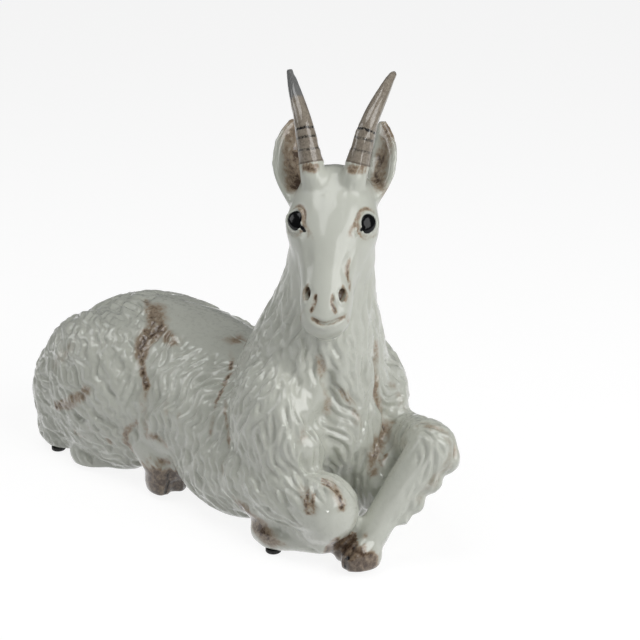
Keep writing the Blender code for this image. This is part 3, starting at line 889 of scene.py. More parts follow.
    def side_lift(self, spots: Array, side: Side) -> Array:
        """A tear duct and a nostril.

        Args:
            spots: Rows of places on the face.
            side: Which duct and nostril.

        Returns:
            How far each place rises, less than 0 where it is cut.
        """
        gap = along_path(spots, self.duct(side))[0] / MM
        lift = -self.duct_depth * soft_step(1.3 - gap / self.duct_radius)
        past_eye = self.eye_chart(spots, side)[0] > 1.05
        lift += 0.5 * np.exp(-(((gap - self.duct_radius - 0.8) / 0.6) ** 2)) * past_eye
        hole = self.nostril_round(spots, side)
        lift -= self.nostril_depth * soft_step((1.05 - hole) / 0.5)
        return lift + 0.8 * np.sin(np.clip((hole - 1.0) / 0.7, 0, 1) * math.pi)

    def middle_lift(self, spots: Array) -> Array:
        """The mouth and the creases.

        Args:
            spots: Rows of places on the face.

        Returns:
            How far each place rises, less than 0 where it is cut.
        """
        gap, run = along_path(spots, self.mouth())
        cut = self.mouth_depth * np.clip(1 - gap / MM / 1.9, 0, 1) ** 0.8
        lips = 0.7 * np.exp(-(((gap / MM - 3.6) / 1.4) ** 2))
        lift = (lips - cut) * np.sin(np.clip(run, 0.02, 0.98) * math.pi)
        for path, width, depth in self.creases():
            gap, run = along_path(spots, laid_path(spots, [self.model.on_head(*p) for p in path]))
            lift -= depth * soft_step(1 - gap / MM / width) * np.sin(np.clip(run, 0.04, 0.96) * math.pi)
        return lift

    def carve(self, obj: bpy.types.Object) -> None:
        """Model the face's details into the skin.

        Args:
            obj: The goat's skin.
        """
        places, normals = read_skin(obj)
        near = np.linalg.norm(places - np.array(self.model.on_head(60, 0, -10)), axis=1) < self.face_reach * MM
        spots = places[near]
        lift = self.middle_lift(spots)
        push = np.zeros(spots.shape)
        for side in SIDES:
            push += np.outer(self.eye_rise(spots, side), self.eye(side).out.normalized())
            lift += self.side_lift(spots, side)
        places[near] += (push + normals[near] * lift[:, None]) * MM
        write_skin(obj, places)

    def ink_gap(self, places: Array) -> Array:
        """Distance to the outline of the black eyes and tear ducts.

        Args:
            places: Rows of places.

        Returns:
            Millimetres, less than 0 inside.
        """
        gap = np.full(len(places), self.ink_reach)
        for side in SIDES:
            gap = np.minimum(gap, (self.eye_chart(places, side)[0] - 1) * self.eye_height)
            duct, _ = along_path(places, self.duct(side))
            gap = np.minimum(gap, duct / MM - self.duct_radius * 0.8)
        return gap


@dataclass
class HornDetail:
    """Growth rings and collar of the horns."""

    model: ModelFrame
    reach: float = 0.0135
    collar_at: float = 12.5
    away: float = -20.0

    def run(self, places: Array) -> tuple[Array, Array]:
        """How far above a horn's collar each place lies, in millimetres, and which horn it is on.

        Args:
            places: Rows of places.

        Returns:
            Runs, and sides, with 0 away from the horns.
        """
        up = np.full(len(places), self.away)
        which = np.zeros(len(places))
        for side in SIDES:
            path = self.model.horn_path(side)
            length = np.sum(np.linalg.norm(np.diff(path, axis=0), axis=1))
            gap, share = along_path(places, path)
            first = (path[1] - path[0]) / np.linalg.norm(path[1] - path[0])
            below = np.minimum((places - path[0]) @ first, 0)
            climb = (share * length + below) / MM - self.collar_at
            mine = (gap < self.reach) & (climb > -12)
            up = np.where(mine, climb, up)
            which = np.where(mine, side, which)
        return up, which

    def carve(self, obj: bpy.types.Object) -> None:
        """Cut the rings and raise the collar.

        Args:
            obj: The goat's skin.
        """
        places, normals = read_skin(obj)
        up, _ = self.run(places)
        lift = np.zeros(len(places))
        for ring, _ in HORN_RINGS:
            lift -= 0.7 * np.exp(-(((up - ring) / 0.8) ** 2))
            lift += 0.35 * np.exp(-(((up - ring + 2.2) / 1.4) ** 2))
        lift += 0.9 * np.exp(-(((up + 1.2) / 1.5) ** 2))
        lift -= 0.5 * np.exp(-(((up - 1.4) / 1.0) ** 2))
        write_skin(obj, places + normals * (lift * MM)[:, None])


@dataclass
class HoofDetail:
    """The clefts of the hooves, in millimetres."""

    model: ModelFrame
    cleft_depth: float = 1.8
    cleft_reach: float = 3.0
    ink_reach: float = 1.7
    lines: list[Array] = field(default_factory=list)

    def clefts(self) -> list[Array]:
        """The line of each cleft, up the front of the hoof."""
        rows = [[(84.5, -75, 4), (86.5, -72, 14), (89.5, -69, 22), (90.5, -64.5, 27)]]
        for side in SIDES:
            rows.append([(-110, side * 71, 4), (-108, side * 70, 12), (-108, side * 69.5, 19), (-109, side * 68, 28)])
        return [rounded_path(np.array([self.model.place(*p) for p in row])) for row in rows]

    def carve(self, obj: bpy.types.Object) -> None:
        """Cut the clefts, each along its line laid on the skin.

        Args:
            obj: The goat's skin.
        """
        places, normals = read_skin(obj)
        lift = np.zeros(len(places))
        for line in self.clefts():
            self.lines.append(laid_path(places, line[::3]))
            gap, _ = along_path(places, self.lines[-1])
            lift -= self.cleft_depth * MM * np.clip(1 - gap / (self.cleft_reach * MM), 0, 1)
        write_skin(obj, places + normals * lift[:, None])


# Painting


@dataclass(frozen=True)
class BrushStroke:
    """One stroke of brown wash: its path in millimetres, half width, strength, and how it keeps to furrows."""

    path: tuple[tuple[float, float, float], ...]
    width: float
    strength: float
    furrows: float = 0.7
    on_head: bool = False
    mirrored: bool = False


@dataclass
class PaintWork:
    """Where the wash, the horn colour and the black glaze go."""

    model: ModelFrame
    face: FaceDetail
    horns: HornDetail
    hooves: HoofDetail

    def strokes(self) -> list[BrushStroke]:
        """All the strokes of brown wash."""
        body = [
            (((-196, -7, 146), (-186, -12, 146), (-177, -17, 144), (-164, -23, 140)), 6, 0.85),
            (((-176, -14, 144), (-163, -24, 139), (-153, -33, 135), (-157, -41, 130)), 14, 1.0, 0.45),
            (((-155, -32, 136), (-145, -34, 134), (-131, -36, 132)), 11, 1.0, 0.75),
            (((-160, -38, 131), (-158, -46, 126), (-152, -54, 119)), 10, 1.0, 0.35),
            (((-157, -47, 126), (-150, -57, 117), (-142, -63, 108), (-132, -68, 99)), 5, 1.0, 0.2),
            (((-132, -69, 98), (-132, -74, 88), (-129, -78, 75), (-124, -76, 56)), 7, 0.5, 0.7),
            (((-152, 33, 136), (-150, 57, 117), (-132, 70, 97), (-127, 79, 66)), 6, 0.75, 0.5),
            (((-233, -82, 58), (-222, -86, 63), (-209, -88, 68)), 7, 1.0, 0.55),
            (((-212, -87, 67), (-200, -88, 76), (-188, -87, 85)), 9, 1.0, 0.65),
            (((-226, 80, 62), (-206, 84, 74), (-190, 84, 84)), 7, 0.8, 0.85),
            (((-238, -72, 90), (-233, -80, 100), (-217, -77, 115)), 11, 0.36, 0.6),
            (((-210, -84, 40), (-196, -85, 37)), 5, 0.75, 0.8),
            (((-188, -87, 52), (-181, -87, 46)), 4.5, 0.7, 0.8),
            (((-170, -82, 44), (-162, -81, 37)), 4.5, 0.7, 0.8),
            (((-98, 9, 131), (-83, -14, 128), (-67, -35, 119), (-61, -51, 111), (-59, -61, 103)), 2.8, 1.0, 0.3),
            (((-59, -61, 103), (-56, -68, 92), (-55, -73, 80)), 3.4, 0.5, 0.7),
            (((-50, -60, 106), (-45, -66, 98), (-39, -70, 91), (-31, -75, 77)), 3.4, 0.75, 0.6),
            (((-100, -30, 133), (-85, -50, 120), (-71, -66, 103)), 4, 0.4, 0.85),
            (((-106, -72, 96), (-102, -78, 78), (-100, -80, 64)), 5, 0.6, 0.9),
            (((-90, -74, 90), (-88, -80, 70), (-84, -82, 54)), 5, 0.55, 0.9),
            (((-66, -82, 66), (-62, -85, 50)), 4, 0.5, 0.9),
            (((-32, -80, 62), (-26, -84, 44)), 5, 0.65, 0.8),
            (((-16, -70, 112), (-12, -73, 100)), 4, 0.6, 0.85),
            (((37, -46, 159), (42, -43, 143), (44.5, -41, 128), (43, -43, 116)), 7, 0.95, 0.6),
            (((43, -43, 117), (45, -52, 115), (45, -61, 113), (44.5, -73, 103)), 8, 0.8, 0.8),
            (((50, -32, 132), (56, -26, 118), (60, -24, 104)), 6, 0.6, 0.9),
            (((54, 7.7, 160), (55, 3.8, 138), (56.6, 1.3, 120), (59, 9, 101)), 7, 0.9, 0.7),
            (((56, 22, 124), (60, 28, 112), (62, 30, 98)), 6, 0.5, 0.85),
            (((62, 10, 93), (66, -2, 88), (68, -13, 81), (72, -20, 68)), 10, 0.95, 0.7),
            (((76, -8, 79), (76, -18, 71), (72, -25, 62)), 2.6, 0.75, 0.4),
            (((60, -44, 92), (66, -36, 78), (70, -30, 64)), 5, 0.5, 0.8),
            (((68, -71, 78), (77, -75, 73), (85, -76, 64)), 8, 0.4, 0.2),
            (((64, -72, 80), (68, -77, 73)), 3.0, 0.7, 0.0),
            (((69, -71, 80), (73, -76, 73), (77, -79, 66)), 3.0, 0.9, 0.0),
            (((75, -71, 78), (80, -76, 69)), 3.0, 0.9, 0.0),
            (((80, -71, 75), (84, -75, 67), (86, -77, 60)), 3.0, 1.0, 0.0),
            (((84, -70, 72), (88, -73, 62)), 2.2, 0.8, 0.0),
            (((54, -86, 72), (62, -90, 65), (70, -91, 59)), 8, 0.4, 0.3),
            (((53, -86, 75), (57, -90, 66)), 3.0, 0.7, 0.0),
            (((59, -86, 72), (63, -91, 62), (66, -92, 56)), 3.2, 0.85, 0.0),
            (((66, -86, 69), (70, -91, 59)), 3.0, 0.75, 0.0),
            (((-8, -86, 33), (0, -85, 25), (10, -86, 21), (22, -88, 16)), 12, 1.0, 0.25),
            (((22, -88, 16), (35, -84, 15)), 6, 0.6, 0.5),
            (((-14, -88, 42), (-8, -88, 34)), 6, 0.55, 0.8),
            (((98, -4, 109), (106, 0, 111), (117, -8, 112)), 6, 0.65, 0.9),
            (((114, -2, 112), (126, -3, 110), (134, 1, 100)), 7, 0.6, 0.9),
            (((134, 2, 100), (134, -2, 90), (129, -12, 76), (120, -22, 58)), 8, 0.5, 0.8),
            (((90, -64, 46), (91, -60, 38), (91, -55, 30)), 4.5, 0.6, 0.4),
            (((-138, -77, 66), (-150, -78, 56), (-152, -77, 46), (-145, -74, 33)), 5, 0.9, 0.4),
            (((-126, -76, 58), (-116, -77, 60), (-106, -76, 54)), 6, 0.8, 0.5),
            (((-134, -76, 30), (-124, -72, 36), (-110, -69, 36)), 5, 0.8, 0.3),
        ]
        face = [
            (((-58, -38, -31), (-36, -40, -36), (-18, -37, -38), (-3, -34, -36)), 13, 0.66, 0.1),
            (((-34, -34, -41), (-13, -32, -41), (-1, -31, -37)), 7.5, 1.0, 0.0),
            (((-11, -27, -7), (-8, -20, -3), (-7, -14, -1), (-10, -8, 1)), 6.5, 0.72, 0.0),
            (((17, -33, -14), (20, -26, -9), (27, -22, -7), (36, -19, -6), (45, -14, -4)), 3.4, 0.5, 0.0),
            (((43, -24, -9), (43, -30, -14), (38, -36, -22)), 3.0, 0.3, 0.0),
            (((93, -6.4, -2), (98, -6.4, -2.2), (104, -9, -4)), 2.3, 0.95, 0.0),
            (((84, -13, -5), (90, -17, -9), (97, -14, -8)), 2.6, 0.4, 0.0),
            (((103, 14, -9), (108, 18, -16)), 3.4, 0.35, 0.0),
        ]
        left_cheek = (((64.7, 16.5, -6.5), (73.8, 15.5, -7.2), (82, 18, -11.3)), 2.4, 0.7, 0.0)
        strokes = [BrushStroke(*row) for row in body]
        strokes += [BrushStroke(*row, on_head=True, mirrored=True) for row in face]
        return strokes + [BrushStroke(*left_cheek, on_head=True)]

    def wash(self, places: Array, furrow: Array) -> Array:
        """How much brown wash lies at each place.

        Args:
            places: Rows of places.
            furrow: How deep in a furrow each place lies.

        Returns:
            Numbers from 0 to 1.
        """
        wash = np.zeros(len(places))
        for stroke in self.strokes():
            for side in SIDES if stroke.mirrored else (1,):
                convert = self.model.on_head if stroke.on_head else self.model.place
                path = np.array([convert(x, y * side, z) for x, y, z in stroke.path])
                reach = stroke.width * MM
                box = np.all((places > path.min(axis=0) - reach) & (places < path.max(axis=0) + reach), axis=1)
                if not box.any():
                    continue
                gap, _ = along_path(places[box], path)
                cover = soft_step(1.15 * (1 - gap / reach)) * stroke.strength
                keep = (1 - stroke.furrows) + stroke.furrows * np.clip(furrow[box] * 1.6, 0, 1)
                wash[box] = np.maximum(wash[box], cover * keep)
        for side in SIDES:
            hole = self.face.nostril_round(places, side)
            wash = np.maximum(wash, soft_step((1.08 - hole) / 0.3))
            ring, _, across, _ = self.face.eye_chart(places, side)
            inner = 0.65 - 0.35 * np.clip(across / self.face.eye_height, -1, 1)
            wash = np.maximum(wash, 0.62 * inner * np.exp(-(((ring - 1.5) / 0.2) ** 2)))
        gap, run = along_path(places, self.face.mouth())
        lips = soft_step(1.5 - gap / MM / 1.4) * np.sin(np.clip(run, 0.02, 0.98) * math.pi) ** 0.8
        return np.maximum(wash, lips)

    def hoof_cover(self, places: Array) -> Array:
        """How much of the hooves' brown lies at each place, up to a slanting hair line.

        Args:
            places: Rows of places.

        Returns:
            Numbers from 0 to 1.
        """
        model = self.model
        cover = np.zeros(len(places))
        sideways = np.array((0.766, 0.643, 0))  # the photograph's own right
        feet = [(model.left_toe(), 30.5, 0.55, 24)]
        feet += [(model.hind_toe(side), 31.0, 0.0, 25) for side in SIDES]
        for toe, top, slope, reach in feet:
            offset = (places - np.array(toe)) / MM
            away = np.linalg.norm(offset[:, :2], axis=1)
            aside = offset @ sideways
            hair_line = top - slope * aside + 1.3 * np.sin(0.9 * aside) + 0.8 * np.sin(2.3 * aside + 1)
            mine = soft_step((hair_line - offset[:, 2]) / 3.0) * soft_step((reach - away) / 4.0)
            cover = np.maximum(cover, mine)
        return cover

    def ink_gap(self, places: Array) -> Array:
        """Distance to the outline of the black glaze.

        Args:
            places: Rows of places.

        Returns:
            Millimetres, less than 0 inside.
        """
        gap = self.face.ink_gap(places)
        for line in self.hooves.lines:
            cleft, _ = along_path(places, line)
            gap = np.minimum(gap, cleft / MM - self.hooves.ink_reach)
        return gap


# Materials


class Level:
    """A number or a colour that varies over a surface, for writing shader maths as expressions."""

    def __init__(self, book: "NodeBook", socket: bpy.types.NodeSocket) -> None:
        """Wrap a socket.

        Args:
            book: The node book that the socket belongs to.
            socket: An output socket.
        """
        self.book = book
        self.socket = socket

    def _math(self, operation: str, first: "Level | float", second: "Level | float" = 0.0) -> "Level":
        """Add one Math node.

        Args:
            operation: What it works out.
            first: A level or a number.
            second: A level or a number.

        Returns:
            Its result.
        """
        return self.book.add("ShaderNodeMath", {"operation": operation}, {0: first, 1: second})

    def __add__(self, other: "Level | float") -> "Level":
        """Sum."""
        return self._math("ADD", self, other)

    __radd__ = __add__

    def __sub__(self, other: "Level | float") -> "Level":
        """Difference."""
        return self._math("SUBTRACT", self, other)

    def __rsub__(self, other: "Level | float") -> "Level":
        """Difference from a number."""
        return self._math("SUBTRACT", other, self)

    def __mul__(self, other: "Level | float") -> "Level":
        """Product."""
        return self._math("MULTIPLY", self, other)

    __rmul__ = __mul__

    def __abs__(self) -> "Level":
        """Size without its sign."""
        return self._math("ABSOLUTE", self)

    def most(self, other: "Level | float") -> "Level":
        """The larger of two.

        Args:
            other: A level or a number.

        Returns:
            The larger one.
        """
        return self._math("MAXIMUM", self, other)

    def step(self, low: float, high: float) -> "Level":
        """An eased ramp.

        Args:
            low: Where the ramp is 0.
            high: Where it is 1.

        Returns:
            The ramp's level.
        """
        settings = {"interpolation_type": "SMOOTHSTEP"}
        if low < high:
            values = {"Value": self, "From Min": low, "From Max": high, "To Min": 0.0, "To Max": 1.0}
        else:
            values = {"Value": self, "From Min": high, "From Max": low, "To Min": 1.0, "To Max": 0.0}
        return self.book.add("ShaderNodeMapRange", settings, values)


class NodeBook:
    """Writes one material's nodes."""

    def __init__(self, name: str) -> None:
        """Start a material.

        Args:
            name: The material's name.
        """
        self.material = bpy.data.materials.new(name)
        self.material.use_nodes = True
        self.tree = self.material.node_tree
        self.shader = self.tree.nodes["Principled BSDF"]

    def add(self, kind: str, settings: dict[str, object], values: dict[object, object], out: object = 0) -> Level:
        """Add a node.

        Args:
            kind: The node's type.
            settings: Its properties, set first.
            values: Numbers, colours or levels for its inputs.
            out: Which output is wanted.

        Returns:
            That output.
        """
        node = self.tree.nodes.new(kind)
        for name, value in settings.items():
            setattr(node, name, value)
        for key, value in values.items():
            self.feed(node.inputs[key], value)
        return Level(self, node.outputs[out])

    def feed(self, socket: bpy.types.NodeSocket, value: object) -> None:
        """Link a level to an input, or set the input's value.

        Args:
            socket: The input.
            value: A level, a number or a colour.
        """
        if isinstance(value, Level):
            self.tree.links.new(value.socket, socket)
        else:
            socket.default_value = value

    def attribute(self, name: str) -> Level:
        """A number kept on the vertices.

        Args:
            name: The attribute's name.

        Returns:
            The number.
        """
        return self.add("ShaderNodeAttribute", {"attribute_name": name}, {}, "Fac")

    def places(self) -> Level:
        """Object coordinates."""
        return self.add("ShaderNodeTexCoord", {}, {}, "Object")

    def noise(self, scale: float, detail: float = 3.0, rough: float = 0.55) -> Level:
        """Cloudy noise.

        Args:
            scale: Its scale, per metre.
            detail: Octaves.
            rough: How strong the finer octaves are.

        Returns:
            Numbers round 0.5.
        """
        values = {"Vector": self.places(), "Scale": scale, "Detail": detail, "Roughness": rough}
        return self.add("ShaderNodeTexNoise", {}, values, "Fac")

    def blend(self, mask: Level, under: object, over: object) -> Level:
        """Two colours mixed by a mask.

        Args:
            mask: 0 for under, 1 for over.
            under: A tone or a colour level.
            over: A tone or a colour level.

        Returns:
            The colour.
        """
        colours = [c.rgba if isinstance(c, Tone) else c for c in (under, over)]
        settings = {"data_type": "RGBA", "clamp_factor": True}
        return self.add("ShaderNodeMix", settings, {0: mask, 6: colours[0], 7: colours[1]}, 2)

    def bump(self, height: Level, distance: float, strength: float = 1.0) -> Level:
        """A bump from a height.

        Args:
            height: A level.
            distance: Metres that a level of 1 stands up.
            strength: How much of the bump shows.

        Returns:
            The normal.
        """
        return self.add("ShaderNodeBump", {}, {"Height": height, "Distance": distance, "Strength": strength}, "Normal")

    def finish(self, varying: dict[str, Level], constant: dict[str, float]) -> bpy.types.Material:
        """Feed the shader.

        Args:
            varying: Levels for sockets that vary.
            constant: Values for sockets that are the same all over.

        Returns:
            The material.
        """
        for name, value in {**constant, **varying}.items():
            self.feed(self.shader.inputs[name], value)
        return self.material


@dataclass(frozen=True)
class PaintedGlaze:
    """White gloss glaze, grey where it pools and darkened as painted shade in the furrows, over brown wash, with
    horns, hooves and black eyes.
    """

    coat: float = 1.0
    coat_gloss: float = 0.05
    body_rough: float = 0.22
    slate_from: float = 52.0

    def horn(self, book: NodeBook, up: Level, slate: Level, noises: tuple[Level, Level, Level]) -> Level:
        """The horns' colour: taupe with a brown grain, inked rings and a slate tip.

        Args:
            book: The material.
            up: Millimetres above the collar.
            slate: 1 on the horn with the slate tip.
            noises: Cloudy, mottled and fine noise.

        Returns:
            The colour.
        """
        cloud, mottle, fine = noises
        grain = (mottle * fine).step(0.14, 0.38) * 0.42
        colour = book.blend(grain, Tone.HORN_TAUPE, Tone.WASH_UMBER)
        slate_cover = (up + 6 * mottle).step(self.slate_from, self.slate_from + 5) * slate * 0.85
        colour = book.blend(slate_cover, colour, Tone.HORN_SLATE)
        wobble = up + (cloud - 0.5) * 3.0
        lines = None
        for ring, weight in HORN_RINGS:
            line = abs(wobble - ring).step(1.2, 0.45) * weight
            lines = line if lines is None else lines.most(line)
        broken = lines * (0.35 + fine.step(0.35, 0.6))
        colour = book.blend(broken * 0.85, colour, Tone.INK_BLACK)
        return book.blend(abs(up - 0.6).step(1.3, 0.4) * 0.45, colour, Tone.WASH_UMBER)

    def material(self) -> bpy.types.Material:
        """Write the material.

        Returns:
            The painted glaze.
        """
        book = NodeBook("painted_glaze")
        cloud = book.noise(28, 4)
        mottle = book.noise(240, 5, 0.65)
        fine = book.noise(700, 3)
        furrow = book.attribute("furrow")
        wash = book.attribute("wash")
        hoof = book.attribute("hoof")
        ink = book.attribute("ink_gap")
        up = book.attribute("horn_run")
        face = book.attribute("face")
        slate = book.attribute("slate")

        white = book.blend(cloud.step(0.35, 0.75) * 0.10, Tone.GLAZE_WHITE, Tone.POOLED_GREY)
        # Painted shade: the furrows are darkened with grey, partly the glaze pooling there and partly shade painted
        # into the creases
        pooled_and_shade = furrow.step(0.12, 0.95) * (0.62 + 0.38 * cloud.step(0.4, 0.7))
        colour = book.blend(pooled_and_shade, white, Tone.POOLED_GREY)

        uneven = wash * (0.55 + 0.95 * mottle.step(0.28, 0.72))
        colour = book.blend(uneven.step(0.02, 0.55) * 0.85, colour, Tone.WASH_TAN)
        colour = book.blend(uneven.step(0.38, 1.05) * 0.95, colour, Tone.WASH_UMBER)

        colour = book.blend(up.step(-0.6, 0.3), colour, self.horn(book, up, slate, (cloud, mottle, fine)))

        scuffed = hoof * (0.62 + 0.6 * mottle.step(0.25, 0.7))
        colour = book.blend(scuffed.step(0.05, 0.7) * 0.9, colour, Tone.WASH_TAN)
        colour = book.blend(scuffed.step(0.45, 1.2) * 0.95, colour, Tone.WASH_UMBER)

        inked = ink.step(0.25, -0.25)
        colour = book.blend(inked, colour, Tone.INK_BLACK)

        relief = fine * 0.3 + cloud
        varying = {
            "Base Color": colour,
            "Roughness": self.body_rough + 0.12 * mottle + 0.06 * face - 0.22 * inked,
            "Coat Weight": self.coat - 0.4 * face - 0.6 * inked,
            "Normal": book.bump(relief, 0.00035, 0.5),
        }
        constant = {"Coat Roughness": self.coat_gloss, "Specular IOR Level": 0.25, "Metallic": 0.0}
        return book.finish(varying, constant)


@dataclass(frozen=True)
class BumperRubber:
    """Matt black rubber, a little dusty."""

    def material(self) -> bpy.types.Material:
        """Write the material.

        Returns:
            The rubber.
        """
        book = NodeBook("bumper_rubber")
        dust = book.noise(900, 4)
        colour = book.blend(dust.step(0.5, 0.8) * 0.25, Tone.BUMPER_BLACK, Tone.POOLED_GREY)
        varying = {"Base Color": colour, "Roughness": 0.5 + 0.2 * dust, "Normal": book.bump(dust, 0.0001)}
        return book.finish(varying, {"Metallic": 0.0})


# Pieces


@dataclass
class Casting:
    """The goat: one hollow casting, glazed and painted."""

    model: ModelFrame
    node: bpy.types.Object
    skin_voxel: float = 0.00115
    coat_triangles: int = 165000
    vent_radius: float = 0.008
    wall: float = 0.0065
    least_wall: float = 0.0018
    smoothing: int = 22

    def vent_place(self) -> Vector:
        """Middle of the drain hole, at the base."""
        return self.model.share(-31, 0, 0) + Vector((0, 0, self.model.base_height))

    def take_skin(self) -> tuple[bpy.types.Object, bpy.types.Object]:
        """Copy the casting and part its outer skin from its hollow, at the drain hole.

        Returns:
            The outer skin and the hollow, each a closed form.
        """
        copy = bpy.data.objects.new("goat_casting", self.node.data.copy())
        bpy.context.scene.collection.objects.link(copy)
        with editing(copy):
            bpy.ops.mesh.select_all(action="SELECT")
            bpy.ops.mesh.remove_doubles(threshold=1e-6)
            bpy.ops.mesh.select_all(action="DESELECT")
        vent = self.vent_place()
        for face in copy.data.polygons:
            away = (face.center.xy - vent.xy).length
            low = face.center.z < self.model.base_height + 2 * self.wall
            face.select = low and abs(face.normal.z) < 0.3 and away < 1.05 * self.vent_radius
        with editing(copy):
            bpy.ops.mesh.delete(type="FACE")
            bpy.ops.mesh.select_all(action="SELECT")
            bpy.ops.mesh.separate(type="LOOSE")
        shells = sorted(bpy.context.selected_objects, key=lambda o: len(o.data.vertices))
        for shell in shells:
            self.close(shell)
        return shells[-1], shells[0]

    def close(self, shell: bpy.types.Object) -> None:
        """Fill a shell's open rim and turn its faces outwards.

        Args:
            shell: The shell.
        """
        with editing(shell):
            bpy.ops.mesh.select_all(action="DESELECT")
            bpy.ops.mesh.select_mode(type="EDGE")
            bpy.ops.mesh.select_non_manifold()
            bpy.ops.mesh.edge_face_add()
            bpy.ops.mesh.select_mode(type="VERT")
            bpy.ops.mesh.select_all(action="SELECT")
            bpy.ops.mesh.quads_convert_to_tris()
            bpy.ops.mesh.normals_make_consistent(inside=False)

    def ease(self, skin: bpy.types.Object, lie: HairLie) -> None:
        """Turn the skin into fine even faces and smooth it, less on the horns, ears and combed coat.

        Args:
            skin: The goat's skin.
            lie: The lie of its hair.
        """
        apply_modifier(skin, "REMESH", mode="VOXEL", voxel_size=self.skin_voxel)
        places, normals = read_skin(skin)
        crown = np.array(self.model.on_head(-45, 0, -15))
        weight = np.clip(np.linalg.norm(places - crown, axis=1) / 0.055 - 0.7, 0.22, 1)
        weight *= 1 - 0.5 * lie.depth(places, normals)
        group = skin.vertex_groups.new(name="ease")
        for level in np.unique(np.round(weight, 1)):
            members = np.where(np.round(weight, 1) == level)[0].tolist()
            group.add(members, float(level), "REPLACE")
        apply_modifier(skin, "SMOOTH", factor=0.5, iterations=self.smoothing, vertex_group="ease")

    def refine(self, skin: bpy.types.Object, spots: list[tuple[Vector, float]]) -> None:
        """Subdivide the skin round some spots.

        Args:
            skin: The goat's skin.
            spots: Centres and radii.
        """
        with editing(skin):
            bpy.ops.mesh.select_all(action="DESELECT")
            bpy.ops.mesh.select_mode(type="VERT")
        places, _ = read_skin(skin)
        chosen = np.zeros(len(places), bool)
        for centre, radius in spots:
            chosen |= np.linalg.norm(places - np.array(centre), axis=1) < radius
        skin.data.vertices.foreach_set("select", chosen)
        with editing(skin):
            bpy.ops.mesh.select_mode(type="VERT")
            bpy.ops.mesh.subdivide(number_cuts=1)
            bpy.ops.mesh.vertices_smooth(factor=0.5, repeat=5)
            bpy.ops.mesh.select_all(action="SELECT")
            bpy.ops.mesh.quads_convert_to_tris()

    def eye_spots(self) -> list[tuple[Vector, float]]:
        """Spheres round the eyes, each a centre and a radius."""
        return [(self.model.on_head(33, side * 28, -11), 0.0165) for side in SIDES]

    def face_spots(self) -> list[tuple[Vector, float]]:
        """Spheres of the face that carry small details, each a centre and a radius."""
        model = self.model
        spots = [(model.on_head(108, 0, -14), 0.018), (model.on_head(10, 0, 0), 0.027)]
        spots += [(model.on_head(91, side * 12, -6), 0.011) for side in SIDES]
        return spots + self.eye_spots()

    def hollow(self, skin: bpy.types.Object, core: bpy.types.Object) -> None:
        """Cut the hollow and the drain hole.

        Args:
            skin: The goat's skin.
            core: The hollow's form, which is used up.
        """
        deselect_all()
        middle = self.vent_place()
        bpy.ops.mesh.primitive_cylinder_add(
            vertices=48, radius=self.vent_radius, depth=3 * self.wall, location=middle
        )
        drill = bpy.context.object
        for tool in (core, drill):
            apply_modifier(skin, "BOOLEAN", operation="DIFFERENCE", solver="EXACT", object=tool)
            bpy.data.objects.remove(tool)

    def build(self) -> bpy.types.Object:
        """Work the casting's skin and paint it.

        Returns:
            The goat.
        """
        skin, core = self.take_skin()
        skin.name = skin.data.name = "goat_casting"
        lie = HairLie(self.model)
        self.ease(skin, lie)
        log.info("skin eased, %d vertices", len(skin.data.vertices))
        broad = CoatComb(lie)
        fine = CoatComb(lie, spacing=0.0036, step=0.0012, longest=0.040, cut=0.00055, seed=5)
        for comb in (broad, fine):
            comb.trace(skin)
        hollow = BVHTree.FromObject(core, bpy.context.evaluated_depsgraph_get())
        for comb in (broad, fine):
            comb.carve(skin, hollow, self.least_wall)
        triangles = sum(len(p.vertices) - 2 for p in skin.data.polygons)
        ratio = min(1.0, self.coat_triangles / triangles)
        apply_modifier(skin, "DECIMATE", ratio=ratio, use_collapse_triangulate=True)
        self.refine(skin, self.face_spots())
        self.refine(skin, self.eye_spots())
        face, horns, hooves = FaceDetail(self.model), HornDetail(self.model), HoofDetail(self.model)
        face.carve(skin)
        horns.carve(skin)
        hooves.carve(skin)
        self.hollow(skin, core)
        self.paint(skin, (broad, fine), PaintWork(self.model, face, horns, hooves))
        make_active(skin)
        bpy.ops.object.shade_smooth()
        return skin

    def paint(self, skin: bpy.types.Object, combs: tuple[CoatComb, CoatComb], work: PaintWork) -> None:
        """Keep on the skin what the glaze needs to know, and glaze it.

        Args:
            skin: The goat's skin.
            combs: The broad and the fine comb.
            work: Where the colours go.
        """
        places, normals = read_skin(skin)
        broad, fine = (comb.furrow(places) for comb in combs)
        # How deep in the combed furrows each place lies; the glaze paints these grey, partly as pooled glaze and
        # partly as painted shade
        furrow = np.maximum(broad, 0.3 * fine) * combs[0].lie.depth(places, normals)
        up, which = work.horns.run(places)
        keep_attribute(skin, "furrow", furrow)
        rim = 1 - 0.9 * np.exp(-((up + 1.5) ** 2))
        keep_attribute(skin, "wash", work.wash(places, furrow) * rim)
        keep_attribute(skin, "hoof", work.hoof_cover(places))
        keep_attribute(skin, "ink_gap", work.ink_gap(places))
        keep_attribute(skin, "horn_run", up)
        away = np.linalg.norm(places - np.array(self.model.on_head(50, 0, -5)), axis=1)
        keep_attribute(skin, "face", soft_step((0.080 - away) / 0.025))
        keep_attribute(skin, "slate", np.where(which < 0, 1.0, 0.0))
        skin.data.materials.clear()
        skin.data.materials.append(PaintedGlaze().material())


